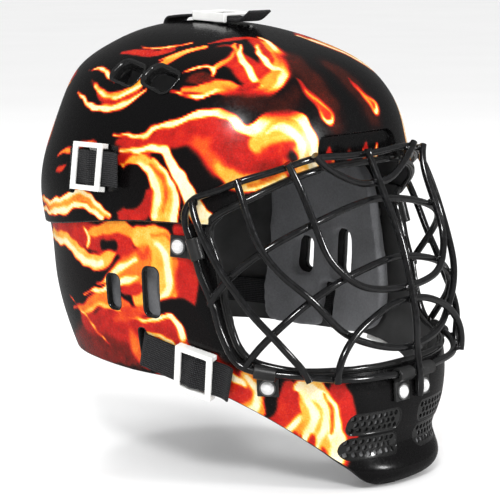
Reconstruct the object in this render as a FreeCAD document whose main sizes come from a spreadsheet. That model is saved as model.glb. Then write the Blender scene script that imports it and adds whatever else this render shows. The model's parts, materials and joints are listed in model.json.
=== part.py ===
import FreeCAD, Part
import math
import os

# Street goalie mask: two moulded shells, welded wire cage, elastic harness and a swinging back plate.
# Frame in mm: +Z up, the face looks along -Y, the wearer's right is -X, origin at the centre of the head.

Vector = FreeCAD.Vector
Rotation = FreeCAD.Rotation
Placement = FreeCAD.Placement

doc = FreeCAD.newDocument("goalie_mask")
sheet = doc.addObject("Spreadsheet::Sheet", "Sizes")

SIZES = [
    ("wall", 2.6), ("crown_lift", 1.0), ("jaw_sink", 1.8), ("seam_lap", 7.0),
    ("front_power", 2.6), ("rear_power", 2.3), ("middle_share", 0.47),
    ("recess_half", 38.0), ("recess_top", 79.0), ("recess_face", 80.0), ("brow_edge", 58.5),
    ("wire_dia", 4.3), ("wire_step", 7.0), ("cage_half", 101.5), ("cage_middle", 30.0), ("cage_power", 2.6),
    ("plate_half", 55.5), ("plate_top", 78.0), ("plate_bottom", 72.0), ("plate_gap", 2.5),
    ("plate_out", 1.0), ("plate_in", 4.0), ("plate_corner", 16.0),
    ("pad_out", 8.0), ("pad_in", 18.0), ("back_pad_out", 6.4), ("back_pad_in", 16.0),
    ("strap_wide", 20.0), ("strap_low", 2.4), ("strap_high", 3.9),
    ("run_out", 4.9), ("run_in", 6.4),
    ("slider_wide", 28.6), ("slider_long", 26.0), ("slider_bar", 4.0), ("slider_rail", 3.1), ("slider_base", 0.4),
    ("slider_core", 1.1), ("top_slider_raise", 0.4), ("slider_roof", 4.4), ("slider_tall", 5.8),
    ("cap_round", 4.6), ("cap_start", 30.0), ("cap_lift", 0.8), ("shank_round", 1.9), ("shank_long", 9.0),
    ("rivet_long", 5.4), ("shank_lap", 0.4),
    ("washer_round", 4.9), ("washer_thick", 0.8), ("nut_round", 4.2), ("nut_thick", 3.0),
    ("clip_wide", 13.0), ("clip_thick", 2.0), ("clip_loop", 8.4), ("clip_bend", 6.0), ("rivet_round", 4.5), ("rivet_start", 40.0),
    ("grille_half_long", 19.0), ("grille_half_tall", 6.0), ("grille_thick", 1.6), ("grille_gap", 0.1),
    ("cell_round", 1.7), ("cell_pitch", 4.3),
]
for number, (name, value) in enumerate(SIZES, start=1):
    sheet.set("A%d" % number, name)
    sheet.set("B%d" % number, str(value))
    sheet.setAlias("B%d" % number, name)

# Horizontal levels of the helmet: height, half width, front, rear.
LEVELS = [
    (-130, 50, -114, 60), (-125, 60, -125, 75), (-115, 69, -129, 88), (-104, 76, -122, 97),
    (-92, 82, -124, 105), (-78, 88, -126, 112), (-60, 94, -124, 119), (-40, 98, -117, 126),
    (-15, 101, -108, 131), (10, 102, -101, 133), (35, 102, -95, 138), (60, 100, -88, 134),
    (83, 95, -83, 125), (100, 88, -75, 119), (114, 78, -62, 111), (126, 61, -40, 95),
    (135, 41, -12, 76), (140, 18, 16, 54), (141, 6, 30, 42),
]
for number, level in enumerate(LEVELS, start=1):
    for column, value in zip("DEFG", level):
        sheet.set("%s%d" % (column, number), str(value))
doc.recompute()


def size(name):
    return float(sheet.get(name))


def read_levels():
    return [[float(sheet.get("%s%d" % (column, number))) for column in "DEFG"]
            for number in range(1, len(LEVELS) + 1)]


def offset_levels(offset):
    """Levels of the same helmet form, moved out along the profile's normal by offset."""
    rows = read_levels()
    moved = []
    for k, (height, half, front, rear) in enumerate(rows):
        low = rows[max(k - 1, 0)]
        high = rows[min(k + 1, len(rows) - 1)]
        rise = high[0] - low[0]
        spread = (high[1] - low[1] + (high[3] - high[2] - low[3] + low[2]) / 2) / 2
        reach = math.hypot(rise, spread)
        out, up = rise / reach, -spread / reach
        if k == len(rows) - 1:
            out, up = 0.0, 1.0
        moved.append((height + offset * up, half + offset * out, front - offset * out, rear + offset * out))
    return moved


def level_points(half, front, rear, height, count=32):
    """Points round one level, fuller at the front than at the rear."""
    middle = front + size("middle_share") * (rear - front)
    points = []
    for k in range(count):
        turn = 2 * math.pi * k / count
        side, ahead = math.sin(turn), math.cos(turn)
        power = size("front_power") if ahead > 0 else size("rear_power")
        reach = (front - middle) if ahead > 0 else (rear - middle)
        x = math.copysign(abs(side) ** (2 / power), side) * half
        points.append(Vector(x, middle + reach * abs(ahead) ** (2 / power), height))
    return points


def shared_parameters():
    """Parameters along a typical level, used for every level so that their knots agree."""
    ring = level_points(100, -110, 130, 0)
    spots = [0.0]
    for start, end in zip(ring, ring[1:] + ring[:1]):
        spots.append(spots[-1] + (end - start).Length)
    return [spot / spots[-1] for spot in spots]


def level_wire(height, half, front, rear):
    curve = Part.BSplineCurve()
    curve.interpolate(Points=level_points(half, front, rear, height), Parameters=shared_parameters(),
                      PeriodicFlag=True)
    return Part.Wire(curve.toShape())


def form(offset, first=0, last=None):
    """Solid helmet form at an offset, between two rows of the level table."""
    rows = offset_levels(offset)[first:last]
    return Part.makeLoft([level_wire(*row) for row in rows], True, False)


def outline_face(run, corners, place):
    """Face bounded by one smooth run of points and straight sides through the corners."""
    points = [place(*p) for p in run]
    curve = Part.BSplineCurve()
    curve.interpolate(points)
    ends = [points[-1]] + [place(*p) for p in corners] + [points[0]]
    edges = [curve.toShape()] + [Part.makeLine(a, b) for a, b in zip(ends, ends[1:])]
    return Part.Face(Part.Wire(edges))


def side_block(run, corners, x_from=-160.0, x_to=160.0):
    """Block with a side outline of (y, z) points."""
    face = outline_face(run, corners, lambda y, z: Vector(x_from, y, z))
    return face.extrude(Vector(x_to - x_from, 0, 0))


def side_polygon(points, x_from, x_to):
    wire = Part.makePolygon([Vector(x_from, y, z) for y, z in points + points[:1]])
    return Part.Face(wire).extrude(Vector(x_to - x_from, 0, 0))


def rounded_front_block(x0, x1, z0, z1, radius, y_from, y_to):
    """Block with a rounded rectangular front outline, its long edges along Y."""
    block = Part.makeBox(x1 - x0, y_to - y_from, z1 - z0, Vector(x0, y_from, z0))
    edges = [e for e in block.Edges if abs(e.Vertexes[0].Y - e.Vertexes[-1].Y) > 1]
    return block.makeFillet(radius, edges)


def mirrored(shape):
    return shape.mirror(Vector(0, 0, 0), Vector(1, 0, 0))


def add_part(label, shape):
    part = doc.addObject("Part::Feature", label)
    part.Label = label
    part.Shape = shape
    part.Placement = Placement()
    return part


def add_pair(name, shape):
    """A right-hand piece and its mirror image."""
    return [add_part(name + "_right", shape), add_part(name + "_left", mirrored(shape))]


# Outlines shared by the shells and what lies in them, as (y, z) points from the side.
SEAM = [(-170, 29), (-60, 30), (5, 29), (77, 20), (170, 12)]
NECK = [(140, -64), (43, -63), (0, -64), (-32, -65), (-57, -72), (-79, -83), (-93, -94.5), (-105, -107),
        (-113.5, -114), (-117.5, -123), (-119, -138)]
NECK_CORNERS = [(-119, -180), (140, -180)]
FACE = [(-89, 60.5), (-84, 57), (-76.7, 51.3), (-62.3, 41), (-51, 33), (-47.5, 27), (-49, 20), (-53, 10),
        (-58, -12), (-64.5, -35), (-67.5, -41), (-73, -45.5), (-81, -48), (-96, -50.5), (-112, -51),
        (-122, -52), (-132, -54)]
FACE_CORNERS = [(-200, -54), (-200, 60.5)]


def recess(growth):
    """Flat brow pocket above the face opening."""
    half = size("recess_half") + growth
    top = size("recess_top") + growth
    return rounded_front_block(-half, half, 20, top, 10.0, -200, -size("recess_face") + growth)


def rear_gap():
    """Opening behind the head that the back plate fills."""
    half = size("plate_half") + size("plate_gap")
    top = size("plate_top") + size("plate_gap")
    return rounded_front_block(-half, half, -200, top, size("plate_corner") + size("plate_gap"), 40, 200)


def slot(y0, y1, z0, z1):
    """Rounded slot through the right-hand wall."""
    radius = 0.35 * min(y1 - y0, z1 - z0)
    block = Part.makeBox(50, y1 - y0, z1 - z0, Vector(-120, y0, z0))
    edges = [e for e in block.Edges if abs(e.Vertexes[0].X - e.Vertexes[-1].X) > 1]
    return block.makeFillet(radius, edges)


EAR_SLOTS = [(18.0, 29.0, -26.0, -5.0), (-13.5, -1.5, -27.0, 2.5)]
UPPER_SLOT = (54.5, 60.5, 42.0, 70.0)
LOWER_SLOT = (-0.5, 5.0, -58.5, -35.5)
TOP_SLOT = (60.0, 66.0)


def vent(y, z):
    """Slanted rounded crown vent, cut square to the surface."""
    block = Part.makeBox(23, 14, 50, Vector(-11.5, -7, -25))
    edges = [e for e in block.Edges if abs(e.Vertexes[0].Z - e.Vertexes[-1].Z) > 1]
    block = block.makeFillet(4.5, edges)
    point, normal = side_seat(y, z, size("crown_lift"))
    block.Placement = seat_placement(point, normal, Vector(-0.2, -0.96, -0.2))
    return block


def crown_cutters():
    tools = [vent(28.5, 114), vent(1, 112), slot(*UPPER_SLOT)]
    tools += [mirrored(tool) for tool in tools]
    half = size("strap_wide") / 2 + 1
    tools.append(Part.makeBox(2 * half, TOP_SLOT[1] - TOP_SLOT[0], 60, Vector(-half, TOP_SLOT[0], 100)))
    tools.append(rear_gap())
    return tools


def make_crown():
    outer = form(size("crown_lift"), 7).cut(recess(0))
    inner = form(size("crown_lift") - size("wall"), 7).cut(recess(size("wall")))
    keep = side_block(SEAM, [(170, 200), (-170, 200)])
    opening = side_block(FACE, FACE_CORNERS)
    brow = Part.makeBox(80, 100, 60, Vector(-40, -160, size("brow_edge") - 60))
    shell = outer.common(keep).cut([inner, opening, brow] + crown_cutters())
    return add_part("crown_shell", shell)


GRILLES = {"upper": -86.0, "lower": -101.0}
GRILLE_X = 28.0


def grille_block(height, trim, y_to=-60.0):
    half_long = size("grille_half_long") - trim
    half_tall = size("grille_half_tall") - trim
    return rounded_front_block(-GRILLE_X - half_long, -GRILLE_X + half_long, height - half_tall,
                               height + half_tall, half_tall * 0.85, -180, y_to)


def make_jaw():
    sink = -size("jaw_sink")
    outer = form(sink, 0, 13)
    inner = form(sink - size("wall"), 0, 13)
    lap = size("seam_lap")
    keep = side_block([(y, z + lap) for y, z in SEAM], [(170, -200), (-170, -200)])
    tools = [side_block(FACE, FACE_CORNERS), side_block(NECK, NECK_CORNERS), rear_gap()]
    cuts = [slot(*box) for box in EAR_SLOTS] + [slot(*LOWER_SLOT)]
    cuts += [grille_block(height, 0) for height in GRILLES.values()]
    cuts += [mirrored(cut) for cut in cuts]
    shell = outer.common(keep)
    for tool in tools + [inner] + cuts:
        shell = shell.cut(tool)
    return add_part("jaw_shell", shell)


def make_grilles():
    """Honeycomb inserts that sit behind the four chin openings."""
    back = size("jaw_sink") + size("wall") + size("grille_gap")
    outer = form(-back)
    inner = form(-back - size("grille_thick"))
    pitch = size("cell_pitch")
    for name, height in GRILLES.items():
        plate = outer.common(grille_block(height, -1.5)).cut(inner)
        cells = []
        for row in range(-1, 2):
            for column in range(-4, 5):
                x = -GRILLE_X + pitch * (column + 0.5 * (row % 2))
                if abs(x + GRILLE_X) > size("grille_half_long") - 2:
                    continue
                centre = Vector(x, -150, height + row * pitch * math.cos(math.pi / 6))
                corners = [centre + Vector(math.sin(a) * size("cell_round"), 0, math.cos(a) * size("cell_round"))
                           for a in [math.pi / 3 * k for k in range(7)]]
                cells.append(Part.Face(Part.makePolygon(corners)).extrude(Vector(0, 90, 0)))
        add_pair("chin_grille_" + name, plate.cut(cells))


# Cage: welded wires on a bulging surface, as (azimuth in degrees, height, lift off the base surface).
CAGE_FRONT = [(-76, -126.5), (-60, -126.3), (-40, -122.9), (-20, -117.6), (0, -113.0), (20, -106.5),
              (40, -97.0), (50, -92.0), (60, -89.2), (72, -87.4)]
RIM = [(0, 66.5, 0), (21, 67, 0), (39, 67.5, 1.5), (50, 64.3, 0), (59, 60.5, -3), (70, 55, -4.5),
       (78, 49.5, -4), (84, 45, -2), (86, 39, 0), (85, 25, 0), (82.6, 15, 0), (80.7, 4, -0.5),
       (78, -7, -1.5), (76, -15, -2), (74.2, -26, -2.5), (71.3, -38, -3.5), (68.5, -46, -4),
       (64, -50.5, -4.7), (58, -52.2, -4.8), (45, -54, -3.5), (31, -57, -1), (11, -58.5, 0), (0, -60, 0)]
CENTRE = [(0, 70, 4.2), (0, 66.5, 4.2), (0, 58, 6.5), (0, 50, 8.1), (0, 38, 8.1), (0, 20, 8.1), (0, 5, 8.1),
          (0, -10, 8.1), (0, -22, 8.1), (0, -33, 6.5), (0, -45, 4.2), (0, -60, 4.2), (0, -67, 4.2),
          (0, -73, 3.6)]
SIDE = [(83, 44, 1.0), (79.6, 31, 4.0), (75.3, 17, 4.2), (71.2, 5, 4.0), (67.2, -4.5, 4.0),
        (62.8, -15, 3.6), (55.2, -30, 3.6), (50, -41, 2.4), (45, -53, -0.5), (44, -56.5, -0.5)]
ARCHES = {
    "cage_brow_u_wire": [(39.5, 70, 5.7), (32.8, 62, 4.2), (23.6, 55.8, 4.2), (12.8, 51.2, 4.2), (0, 50, 4.2)],
    "cage_nose_u_wire": [(51.3, 66.5, 3.9), (46, 51, 4.2), (42.1, 35.5, 4.2), (39.5, 24, 4.2),
                         (37, 14, 4.2), (31.6, 3.5, 4.2), (25.3, -3.7, 4.2), (13.7, -8.4, 4.2), (0, -9.7, 4.2)],
    "cage_chin_u_wire": [(68.6, 57, -0.8), (64, 38, 3), (59.9, 21.6, 3.9), (52.4, 4.3, 3.9), (43.3, -9.8, 3.9),
                         (37.5, -21, 2.5), (31.4, -30.5, 0), (21, -38.5, 0), (10, -43, 0), (0, -44.5, 0)],
    "cage_eye_arch_wire": [(77, -15, -2), (73.5, -6, -0.6), (69.4, 2.4, 0), (57.4, 19.3, 0), (41.8, 31.1, 0),
                           (27, 36.8, 0), (13.9, 39.4, 0), (0, 40.5, 0)],
    "cage_cheek_arch_wire": [(65, -50.5, -4.6), (60, -38, -2), (54.5, -27.4, 0), (46.3, -14.8, 0),
                             (32, -1.6, 0), (18, 4.2, 0), (8.3, 6.3, 0), (0, 7, 0)],
    "cage_mouth_arch_wire": [(35.4, -57.5, 2.0), (33.7, -43, 3.9), (28.5, -31.6, 3.9), (19.5, -22.8, 4.2),
                             (10.5, -18.2, 4.2), (0, -17, 4.2)],
}


def cage_front(height):
    """Front line of the cage's base surface, smooth through its table."""
    k = 1
    while k < len(CAGE_FRONT) - 3 and CAGE_FRONT[k + 1][0] < height:
        k += 1
    before, start, end, after = CAGE_FRONT[k - 1:k + 3]
    share = (height - start[0]) / (end[0] - start[0])
    slope0 = (end[1] - before[1]) / (end[0] - before[0]) * (end[0] - start[0])
    slope1 = (after[1] - start[1]) / (after[0] - start[0]) * (end[0] - start[0])
    square, cube = share ** 2, share ** 3
    return ((2 * cube - 3 * square + 1) * start[1] + (cube - 2 * square + share) * slope0
            + (3 * square - 2 * cube) * end[1] + (cube - square) * slope1)


def cage_point(azimuth, height, lift):
    turn = math.radians(azimuth)
    half = size("cage_half") + lift
    reach = -size("cage_middle") - cage_front(height) + lift
    power = size("cage_power")
    radius = (abs(math.sin(turn) / half) ** power + abs(math.cos(turn) / reach) ** power) ** (-1 / power)
    return Vector(radius * math.sin(turn), -size("cage_middle") - radius * math.cos(turn), height)


def tube(points, end_headings=None):
    """Round wire lofted through circles along a smooth path."""
    curve = Part.BSplineCurve()
    if end_headings:
        curve.interpolate(Points=points, InitialTangent=end_headings[0], FinalTangent=end_headings[1])
    else:
        curve.interpolate(points)
    count = int(curve.length() / size("wire_step"))
    across = Vector(0.6, 0.3, 0.74)
    rings = []
    for k in range(count + 1):
        spot = curve.parameterAtDistance(curve.length() * k / count, curve.FirstParameter)
        place = seat_placement(curve.value(spot), curve.tangent(spot)[0], across)
        across = place.Rotation.multVec(Vector(1, 0, 0))
        ring = Part.Wire(Part.Circle(Vector(0, 0, 0), Vector(0, 0, 1), size("wire_dia") / 2).toShape())
        ring.Placement = place
        rings.append(ring)
    return Part.makeLoft(rings, True, False)


def both_ways(half_path):
    """Full arch from the half path that ends on the middle line."""
    right = [cage_point(-azimuth, height, lift) for azimuth, height, lift in half_path]
    left = [cage_point(azimuth, height, lift) for azimuth, height, lift in reversed(half_path[:-1])]
    return right + left


def make_cage():
    side = tube([cage_point(-azimuth, height, lift) for azimuth, height, lift in RIM],
                (Vector(-1, 0, 0), Vector(1, 0, 0)))
    add_part("cage_rim_wire", side.fuse(mirrored(side)))
    add_part("cage_centre_wire", tube([cage_point(*p) for p in CENTRE]))
    add_pair("cage_side_wire", tube([cage_point(-azimuth, height, lift) for azimuth, height, lift in SIDE]))
    for name, path in ARCHES.items():
        add_part(name, tube(both_ways(path)))


def make_pads():
    """Foam liners just inside the shells."""
    outer = form(-size("pad_out"))
    inner = form(-size("pad_in"))
    cheek = side_block([(40, 50), (48, 36), (50, 0), (50, -44), (44, -58), (30, -61), (0, -61), (-24, -61),
                        (-38, -55), (-44, -42), (-43, -20), (-38, 5), (-34, 28), (-30, 40), (-20, 50), (0, 54),
                        (20, 54)], [], -120, -40)
    ears = [slot(y0 - 2, y1 + 2, z0 - 2, z1 + 2) for y0, y1, z0, z1 in EAR_SLOTS]
    strap_way = Part.makeBox(60, 12, 30, Vector(-120, -4, -62))
    add_pair("cheek_pad", outer.common(cheek).cut([inner, strap_way] + ears))
    brow = Part.makeBox(150, 110, 27, Vector(-75, -120, 63))
    add_part("forehead_pad", outer.common(brow).cut([inner, recess(size("wall") + 1.0)]))
    top = rounded_front_block(-30, 30, 60, 160, 4, -45, 50)
    add_part("crown_pad", outer.common(top).cut(inner))
    chin = rounded_front_block(-42, 42, -112, -78, 10, -160, -60)
    add_part("chin_pad", outer.common(chin).cut(inner))


def make_back():
    half = size("plate_half")
    region = rounded_front_block(-half, half, -size("plate_bottom"), size("plate_top"),
                                 size("plate_corner"), 50, 200)
    plate = form(-size("plate_out")).common(region).cut(form(-size("plate_in")))
    slots = [rounded_front_block(-18, 18, height - 3, height + 3, 2.9, 50, 200) for height in (-30, 0, 30)]
    add_part("back_plate", plate.cut(slots))
    region = rounded_front_block(-42, 42, -64, 66, 14, 50, 200)
    pad = form(-size("back_pad_out")).common(region).cut(form(-size("back_pad_in")))
    add_part("back_pad", pad)


def strap_band(above, below, region):
    return form(above).common(region).cut(form(below))


UPPER_BAND = {"tail": (16.5, 58.5), "slot": (57.5, 58.5), "end": (130, 52)}
LOWER_BAND = {"tail": (-58, -60.0), "slot": (2.5, -47.0), "end": (130, -44)}


def band_block(start, end, x_from=-130.0, x_to=0.0, extra=0.0):
    """Flat band of strap width between two (y, z) points, seen from the side."""
    along = Vector(0, end[0] - start[0], end[1] - start[1])
    along.normalize()
    across = Vector(0, -along.z, along.y) * (size("strap_wide") / 2 + extra)
    a, b = Vector(0, *start), Vector(0, *end)
    corners = [a + across, b + across, b - across, a - across]
    return side_polygon([(p.y, p.z) for p in corners], x_from, x_to)


def make_side_strap(label, lift, band):
    """Webbing: free tail outside, through its slot, then inside to just ahead of the back plate."""
    low, high = lift + size("strap_low"), lift + size("strap_high")
    slot_y, slot_z = band["slot"]
    half = size("strap_wide") / 2
    ahead = slot_y - (high - low) / 2
    behind = slot_y + (high - low) / 2
    front_half = Part.makeBox(140, 200, 200, Vector(-140, ahead - 200, -100))
    rear_half = Part.makeBox(140, 200, 200, Vector(-140, behind, -100))
    gate = Part.makeBox(80, behind - ahead, 2 * half, Vector(-130, ahead, slot_z - half))
    outside = strap_band(high, low, band_block(band["tail"], (slot_y + 5, slot_z), -130, -60).common(front_half))
    inside = strap_band(-size("run_out"), -size("run_in"),
                        band_block((slot_y - 5, slot_z), band["end"], -130,
                                   -size("plate_half") + 4).common(rear_half))
    through = strap_band(high, -size("run_in"), gate)
    add_pair(label, outside.fuse([through, inside]))


def ridge_block(offset):
    """Block of strap width under the helmet form's middle line."""
    rows = [row for row in offset_levels(offset) if row[0] > 70]
    run = [(row[3], row[0]) for row in rows] + [(row[2], row[0]) for row in reversed(rows)]
    half = size("strap_wide") / 2
    return side_block(run, [(run[-1][0], 0), (run[0][0], 0)], -half, half)


def make_top_strap():
    lift = size("crown_lift")
    low, high = lift + size("strap_low"), lift + size("strap_high")
    ahead = (TOP_SLOT[0] + TOP_SLOT[1] - high + low) / 2
    behind = ahead + high - low
    outside = ridge_block(high).common(Part.makeBox(40, ahead - 4, 100, Vector(-20, 4, 90)))
    through = ridge_block(high).common(Part.makeBox(40, behind - ahead, 100, Vector(-20, ahead, 90)))
    inside = ridge_block(-size("run_out")).common(
        Part.makeBox(40, 120, 100, Vector(-20, behind, size("plate_top") + 0.8)))
    core = ridge_block(-size("run_in"))
    strap = outside.cut(ridge_block(low)).fuse([through.cut(core), inside.cut(core)])
    add_part("top_strap", strap)


def seat_on(offset, start, far):
    """Where a line from inside meets the form, with the outward normal there."""
    solid = form(offset)
    hit = solid.common(Part.makeLine(start, far))
    point = max((v.Point for v in hit.Vertexes), key=lambda p: (p - start).Length)
    face = min(solid.Faces, key=lambda f: f.distToShape(Part.Vertex(point))[0])
    normal = face.normalAt(*face.Surface.parameter(point))
    if normal.dot(far - start) < 0:
        normal = normal * -1
    return point, normal


def seat_placement(point, normal, along):
    """Placement with Z along the normal and X toward the given direction."""
    z_axis = Vector(normal)
    z_axis.normalize()
    x_axis = along - z_axis * along.dot(z_axis)
    x_axis.normalize()
    y_axis = z_axis.cross(x_axis)
    return Placement(FreeCAD.Matrix(x_axis.x, y_axis.x, z_axis.x, point.x,
                                    x_axis.y, y_axis.y, z_axis.y, point.y,
                                    x_axis.z, y_axis.z, z_axis.z, point.z, 0, 0, 0, 1))


def bound_box(name, long, wide, tall):
    box = doc.addObject("Part::Box", name)
    box.setExpression("Length", long)
    box.setExpression("Width", wide)
    box.setExpression("Height", tall)
    return box


def local(placement, x, y, z):
    return placement.multiply(Placement(Vector(x, y, z), Rotation()))


def make_slider(label, placement):
    """Three-bar slider: two rails, a low core bar under the webbing and two roof bars over it."""
    wide, long, bar = size("slider_wide"), size("slider_long"), size("slider_bar")
    base, roof = size("slider_base"), size("slider_roof")
    pieces = []
    for side in (-1, 1):
        rail = bound_box("%s_rail%d" % (label, side), "Sizes.slider_long", "Sizes.slider_rail",
                         "Sizes.slider_tall")
        y = wide / 2 - size("slider_rail") if side > 0 else -wide / 2
        rail.Placement = local(placement, -long / 2, y, base)
        pieces.append(rail)
        top = bound_box("%s_roof%d" % (label, side), "Sizes.slider_bar", "Sizes.slider_wide",
                        "Sizes.slider_tall + Sizes.slider_base - Sizes.slider_roof")
        x = long / 2 - bar if side > 0 else -long / 2
        top.Placement = local(placement, x, -wide / 2, roof)
        pieces.append(top)
    core = bound_box(label + "_core", "Sizes.slider_bar + 2", "Sizes.slider_wide", "Sizes.slider_core")
    core.Placement = local(placement, -bar / 2 - 1, -wide / 2, base)
    pieces.append(core)
    fused = doc.addObject("Part::MultiFuse", label)
    fused.Label = label
    fused.Shapes = pieces
    return fused


def mirror_feature(label, source):
    twin = doc.addObject("Part::Mirroring", label)
    twin.Label = label
    twin.Source = source
    twin.Normal = Vector(1, 0, 0)
    return twin


def side_seat(y, height, offset):
    return seat_on(offset, Vector(0, y, height), Vector(-200, y, height))


def front_seat(x, height, offset):
    return seat_on(offset, Vector(x, 0, height), Vector(x, -200, height))


def rear_seat(x, height, offset):
    return seat_on(offset, Vector(x, 0, height), Vector(x, 200, height))


def fuse_of(label, pieces):
    fused = doc.addObject("Part::MultiFuse", label)
    fused.Label = label
    fused.Shapes = pieces
    return fused


def group_of(label, pieces):
    group = doc.addObject("Part::Compound", label)
    group.Label = label
    group.Links = pieces
    return group


def bound_round(name, radius, tall, placement):
    rod = doc.addObject("Part::Cylinder", name)
    rod.setExpression("Radius", radius)
    rod.setExpression("Height", tall)
    rod.Placement = placement
    return rod


def make_domed_fastener(name, placement, height, kind, shank_long):
    """Domed head with its flat side at the given height, and a shank going in."""
    ball, start = kind + "_round", kind + "_start"
    cap = doc.addObject("Part::Sphere", name + "_cap")
    cap.setExpression("Radius", "Sizes." + ball)
    cap.setExpression("Angle1", "Sizes." + start)
    cap.Placement = local(placement, 0, 0, height - size(ball) * math.sin(math.radians(size(start))))
    shank = bound_round(name + "_shank", "Sizes.shank_round", "Sizes." + shank_long,
                        local(placement, 0, 0, height - size(shank_long) + size("shank_lap")))
    return fuse_of(name, [cap, shank])


CLIP_SEATS = {"temple": (side_seat(-29, 17, -size("jaw_sink")), (82.2, 17, -0.2)),
              "jaw": (side_seat(-81, -61.5, -size("jaw_sink")), (58, -52.2, -4.8)),
              "chin": (front_seat(-10.5, -70, -size("jaw_sink")), (6.2, -59.3, 0))}


def make_clip(name, rim, ground):
    """Moulded strap round the wire with a flat tab under its screw."""
    (point, normal), wire_at = CLIP_SEATS[name]
    azimuth, height, lift = wire_at
    wire = cage_point(-azimuth, height, lift)
    base = seat_placement(point, normal, wire - point)
    reach = base.inverse().multVec(wire)
    wide, thick = size("clip_wide"), size("clip_thick")
    tab = bound_box(name + "_tab", "Sizes.clip_wide - 2", "Sizes.clip_wide", "Sizes.clip_thick")
    tab.Placement = local(base, -wide / 2 + 1, -wide / 2, 0.3)
    arm = bound_box(name + "_arm", "Sizes.clip_loop", "Sizes.clip_wide", "Sizes.clip_thick")
    start = Vector(size("clip_bend"), -wide / 2, 0.3)
    run_x, run_z = reach.x - size("clip_bend"), reach.z - 0.3 - thick / 2
    slope = math.degrees(math.atan2(run_z, run_x))
    arm.setExpression("Length", "%.2f" % math.hypot(run_x, run_z))
    arm.Placement = base.multiply(Placement(start, Rotation(Vector(0, 1, 0), -slope)))
    run = cage_point(-azimuth, height, lift) - cage_point(-azimuth - 2, height, lift)
    if name == "temple":
        run = cage_point(-80.7, 4, -0.5) - cage_point(-85, 25, 0)
    if name == "jaw":
        run = cage_point(-64, -50.5, -4.7) - cage_point(-52, -53.1, -4.2)
    run.normalize()
    turn = seat_placement(wire, run, normal)
    loop = bound_round(name + "_loop", "Sizes.clip_loop / 2", "Sizes.clip_wide",
                       turn.multiply(Placement(Vector(0, 0, -wide / 2), Rotation())))
    hole = bound_round(name + "_hole", "Sizes.shank_round + 0.2", "Sizes.shank_long",
                       local(base, 0, 0, -2))
    body = fuse_of(name + "_body", [tab, arm, loop])
    for number, tool in enumerate((hole, rim, ground)):
        cut = doc.addObject("Part::Cut", "%s_cut%d" % (name, number))
        cut.Base = body
        cut.Tool = tool
        body = cut
    body.Label = name + "_clip_right"
    return [body, mirror_feature(name + "_clip_left", body)]


def make_fasteners():
    screws, washers, nuts = [], [], []
    for name, ((point, normal), wire_at) in CLIP_SEATS.items():
        base = seat_placement(point, normal, Vector(0, 0, 1))
        top = 0.3 + size("clip_thick")
        screw = make_domed_fastener(name + "_screw", base, top + size("washer_thick"), "cap", "shank_long")
        disc = bound_round(name + "_disc", "Sizes.washer_round", "Sizes.washer_thick", local(base, 0, 0, top))
        bore = bound_round(name + "_bore", "Sizes.shank_round", "Sizes.washer_thick", local(base, 0, 0, top))
        washer = doc.addObject("Part::Cut", name + "_washer")
        washer.Base, washer.Tool = disc, bore
        prism = doc.addObject("Part::Prism", name + "_prism")
        prism.setExpression("Circumradius", "Sizes.nut_round")
        prism.setExpression("Height", "Sizes.nut_thick")
        low = -size("wall") - 0.3 - size("nut_thick")
        prism.Placement = local(base, 0, 0, low)
        thread = bound_round(name + "_thread", "Sizes.shank_round", "Sizes.nut_thick", local(base, 0, 0, low))
        nut = doc.addObject("Part::Cut", name + "_nut")
        nut.Base, nut.Tool = prism, thread
        for item, pile in ((screw, screws), (washer, washers), (nut, nuts)):
            pile += [item, mirror_feature(item.Name + "_twin", item)]
    return [group_of("cage_screws", screws), group_of("cage_washers", washers), group_of("cage_nuts", nuts)]


TABS = {"upper": (38.0, 52.0), "lower": (38.0, -44.0), "top": (0.0, 66.0)}


def make_tabs():
    """Webbing ends fixed inside the back plate, and the rivets that hold them."""
    half = size("strap_wide") / 2
    strips, rivets, bores = [], [], []
    for name, (x, height) in TABS.items():
        if x:
            box = Part.makeBox(24, 160, 2 * half, Vector(-50.5, 50, height - half))
        else:
            box = Part.makeBox(2 * half, 160, 22, Vector(-half, 50, height - 11))
        strip = strap_band(-size("plate_in") - 0.3, -size("plate_in") - 1.8, box)
        point, normal = rear_seat(-x, height, -size("plate_out"))
        base = seat_placement(point, normal, Vector(0, 0, 1))
        rivet = make_domed_fastener(name + "_rivet", base, 0.0, "rivet", "rivet_long")
        bore = Part.makeCylinder(size("shank_round"), 2 * size("rivet_long"), Vector(0, 0, -size("rivet_long")))
        bore.Placement = base
        strip = strip.cut(bore)
        rivets.append(rivet)
        strips.append(strip)
        bores.append(bore)
        if x:
            strips.append(mirrored(strip))
            rivets.append(mirror_feature(rivet.Name + "_twin", rivet))
            bores.append(mirrored(bore))
    add_part("strap_tabs", Part.makeCompound(strips))
    plate = doc.getObject("back_plate")
    plate.Shape = plate.Shape.cut(bores)
    return group_of("strap_rivets", rivets)


def make_sliders():
    lift, sink = size("crown_lift"), -size("jaw_sink")
    along = Vector(0, -1, 0)
    point, normal = side_seat(37.5, 58.5, lift)
    right = make_slider("upper_slider_right", seat_placement(point, normal, along))
    low = LOWER_BAND["tail"], LOWER_BAND["slot"]
    along_low = Vector(0, low[0][0] - low[1][0], low[0][1] - low[1][1])
    height = LOWER_BAND["slot"][1] + (-38 - LOWER_BAND["slot"][0]) * along_low.z / along_low.y
    point, normal = side_seat(-38, height, sink)
    lower = make_slider("lower_slider_right", seat_placement(point, normal, along_low))
    point, normal = seat_on(lift, Vector(0, 22, 0), Vector(0, 22, 200))
    top = make_slider("top_slider", local(seat_placement(point, normal, along), 0, 0, size("top_slider_raise")))
    return [right, mirror_feature("upper_slider_left", right), lower,
            mirror_feature("lower_slider_left", lower), top]


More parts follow.
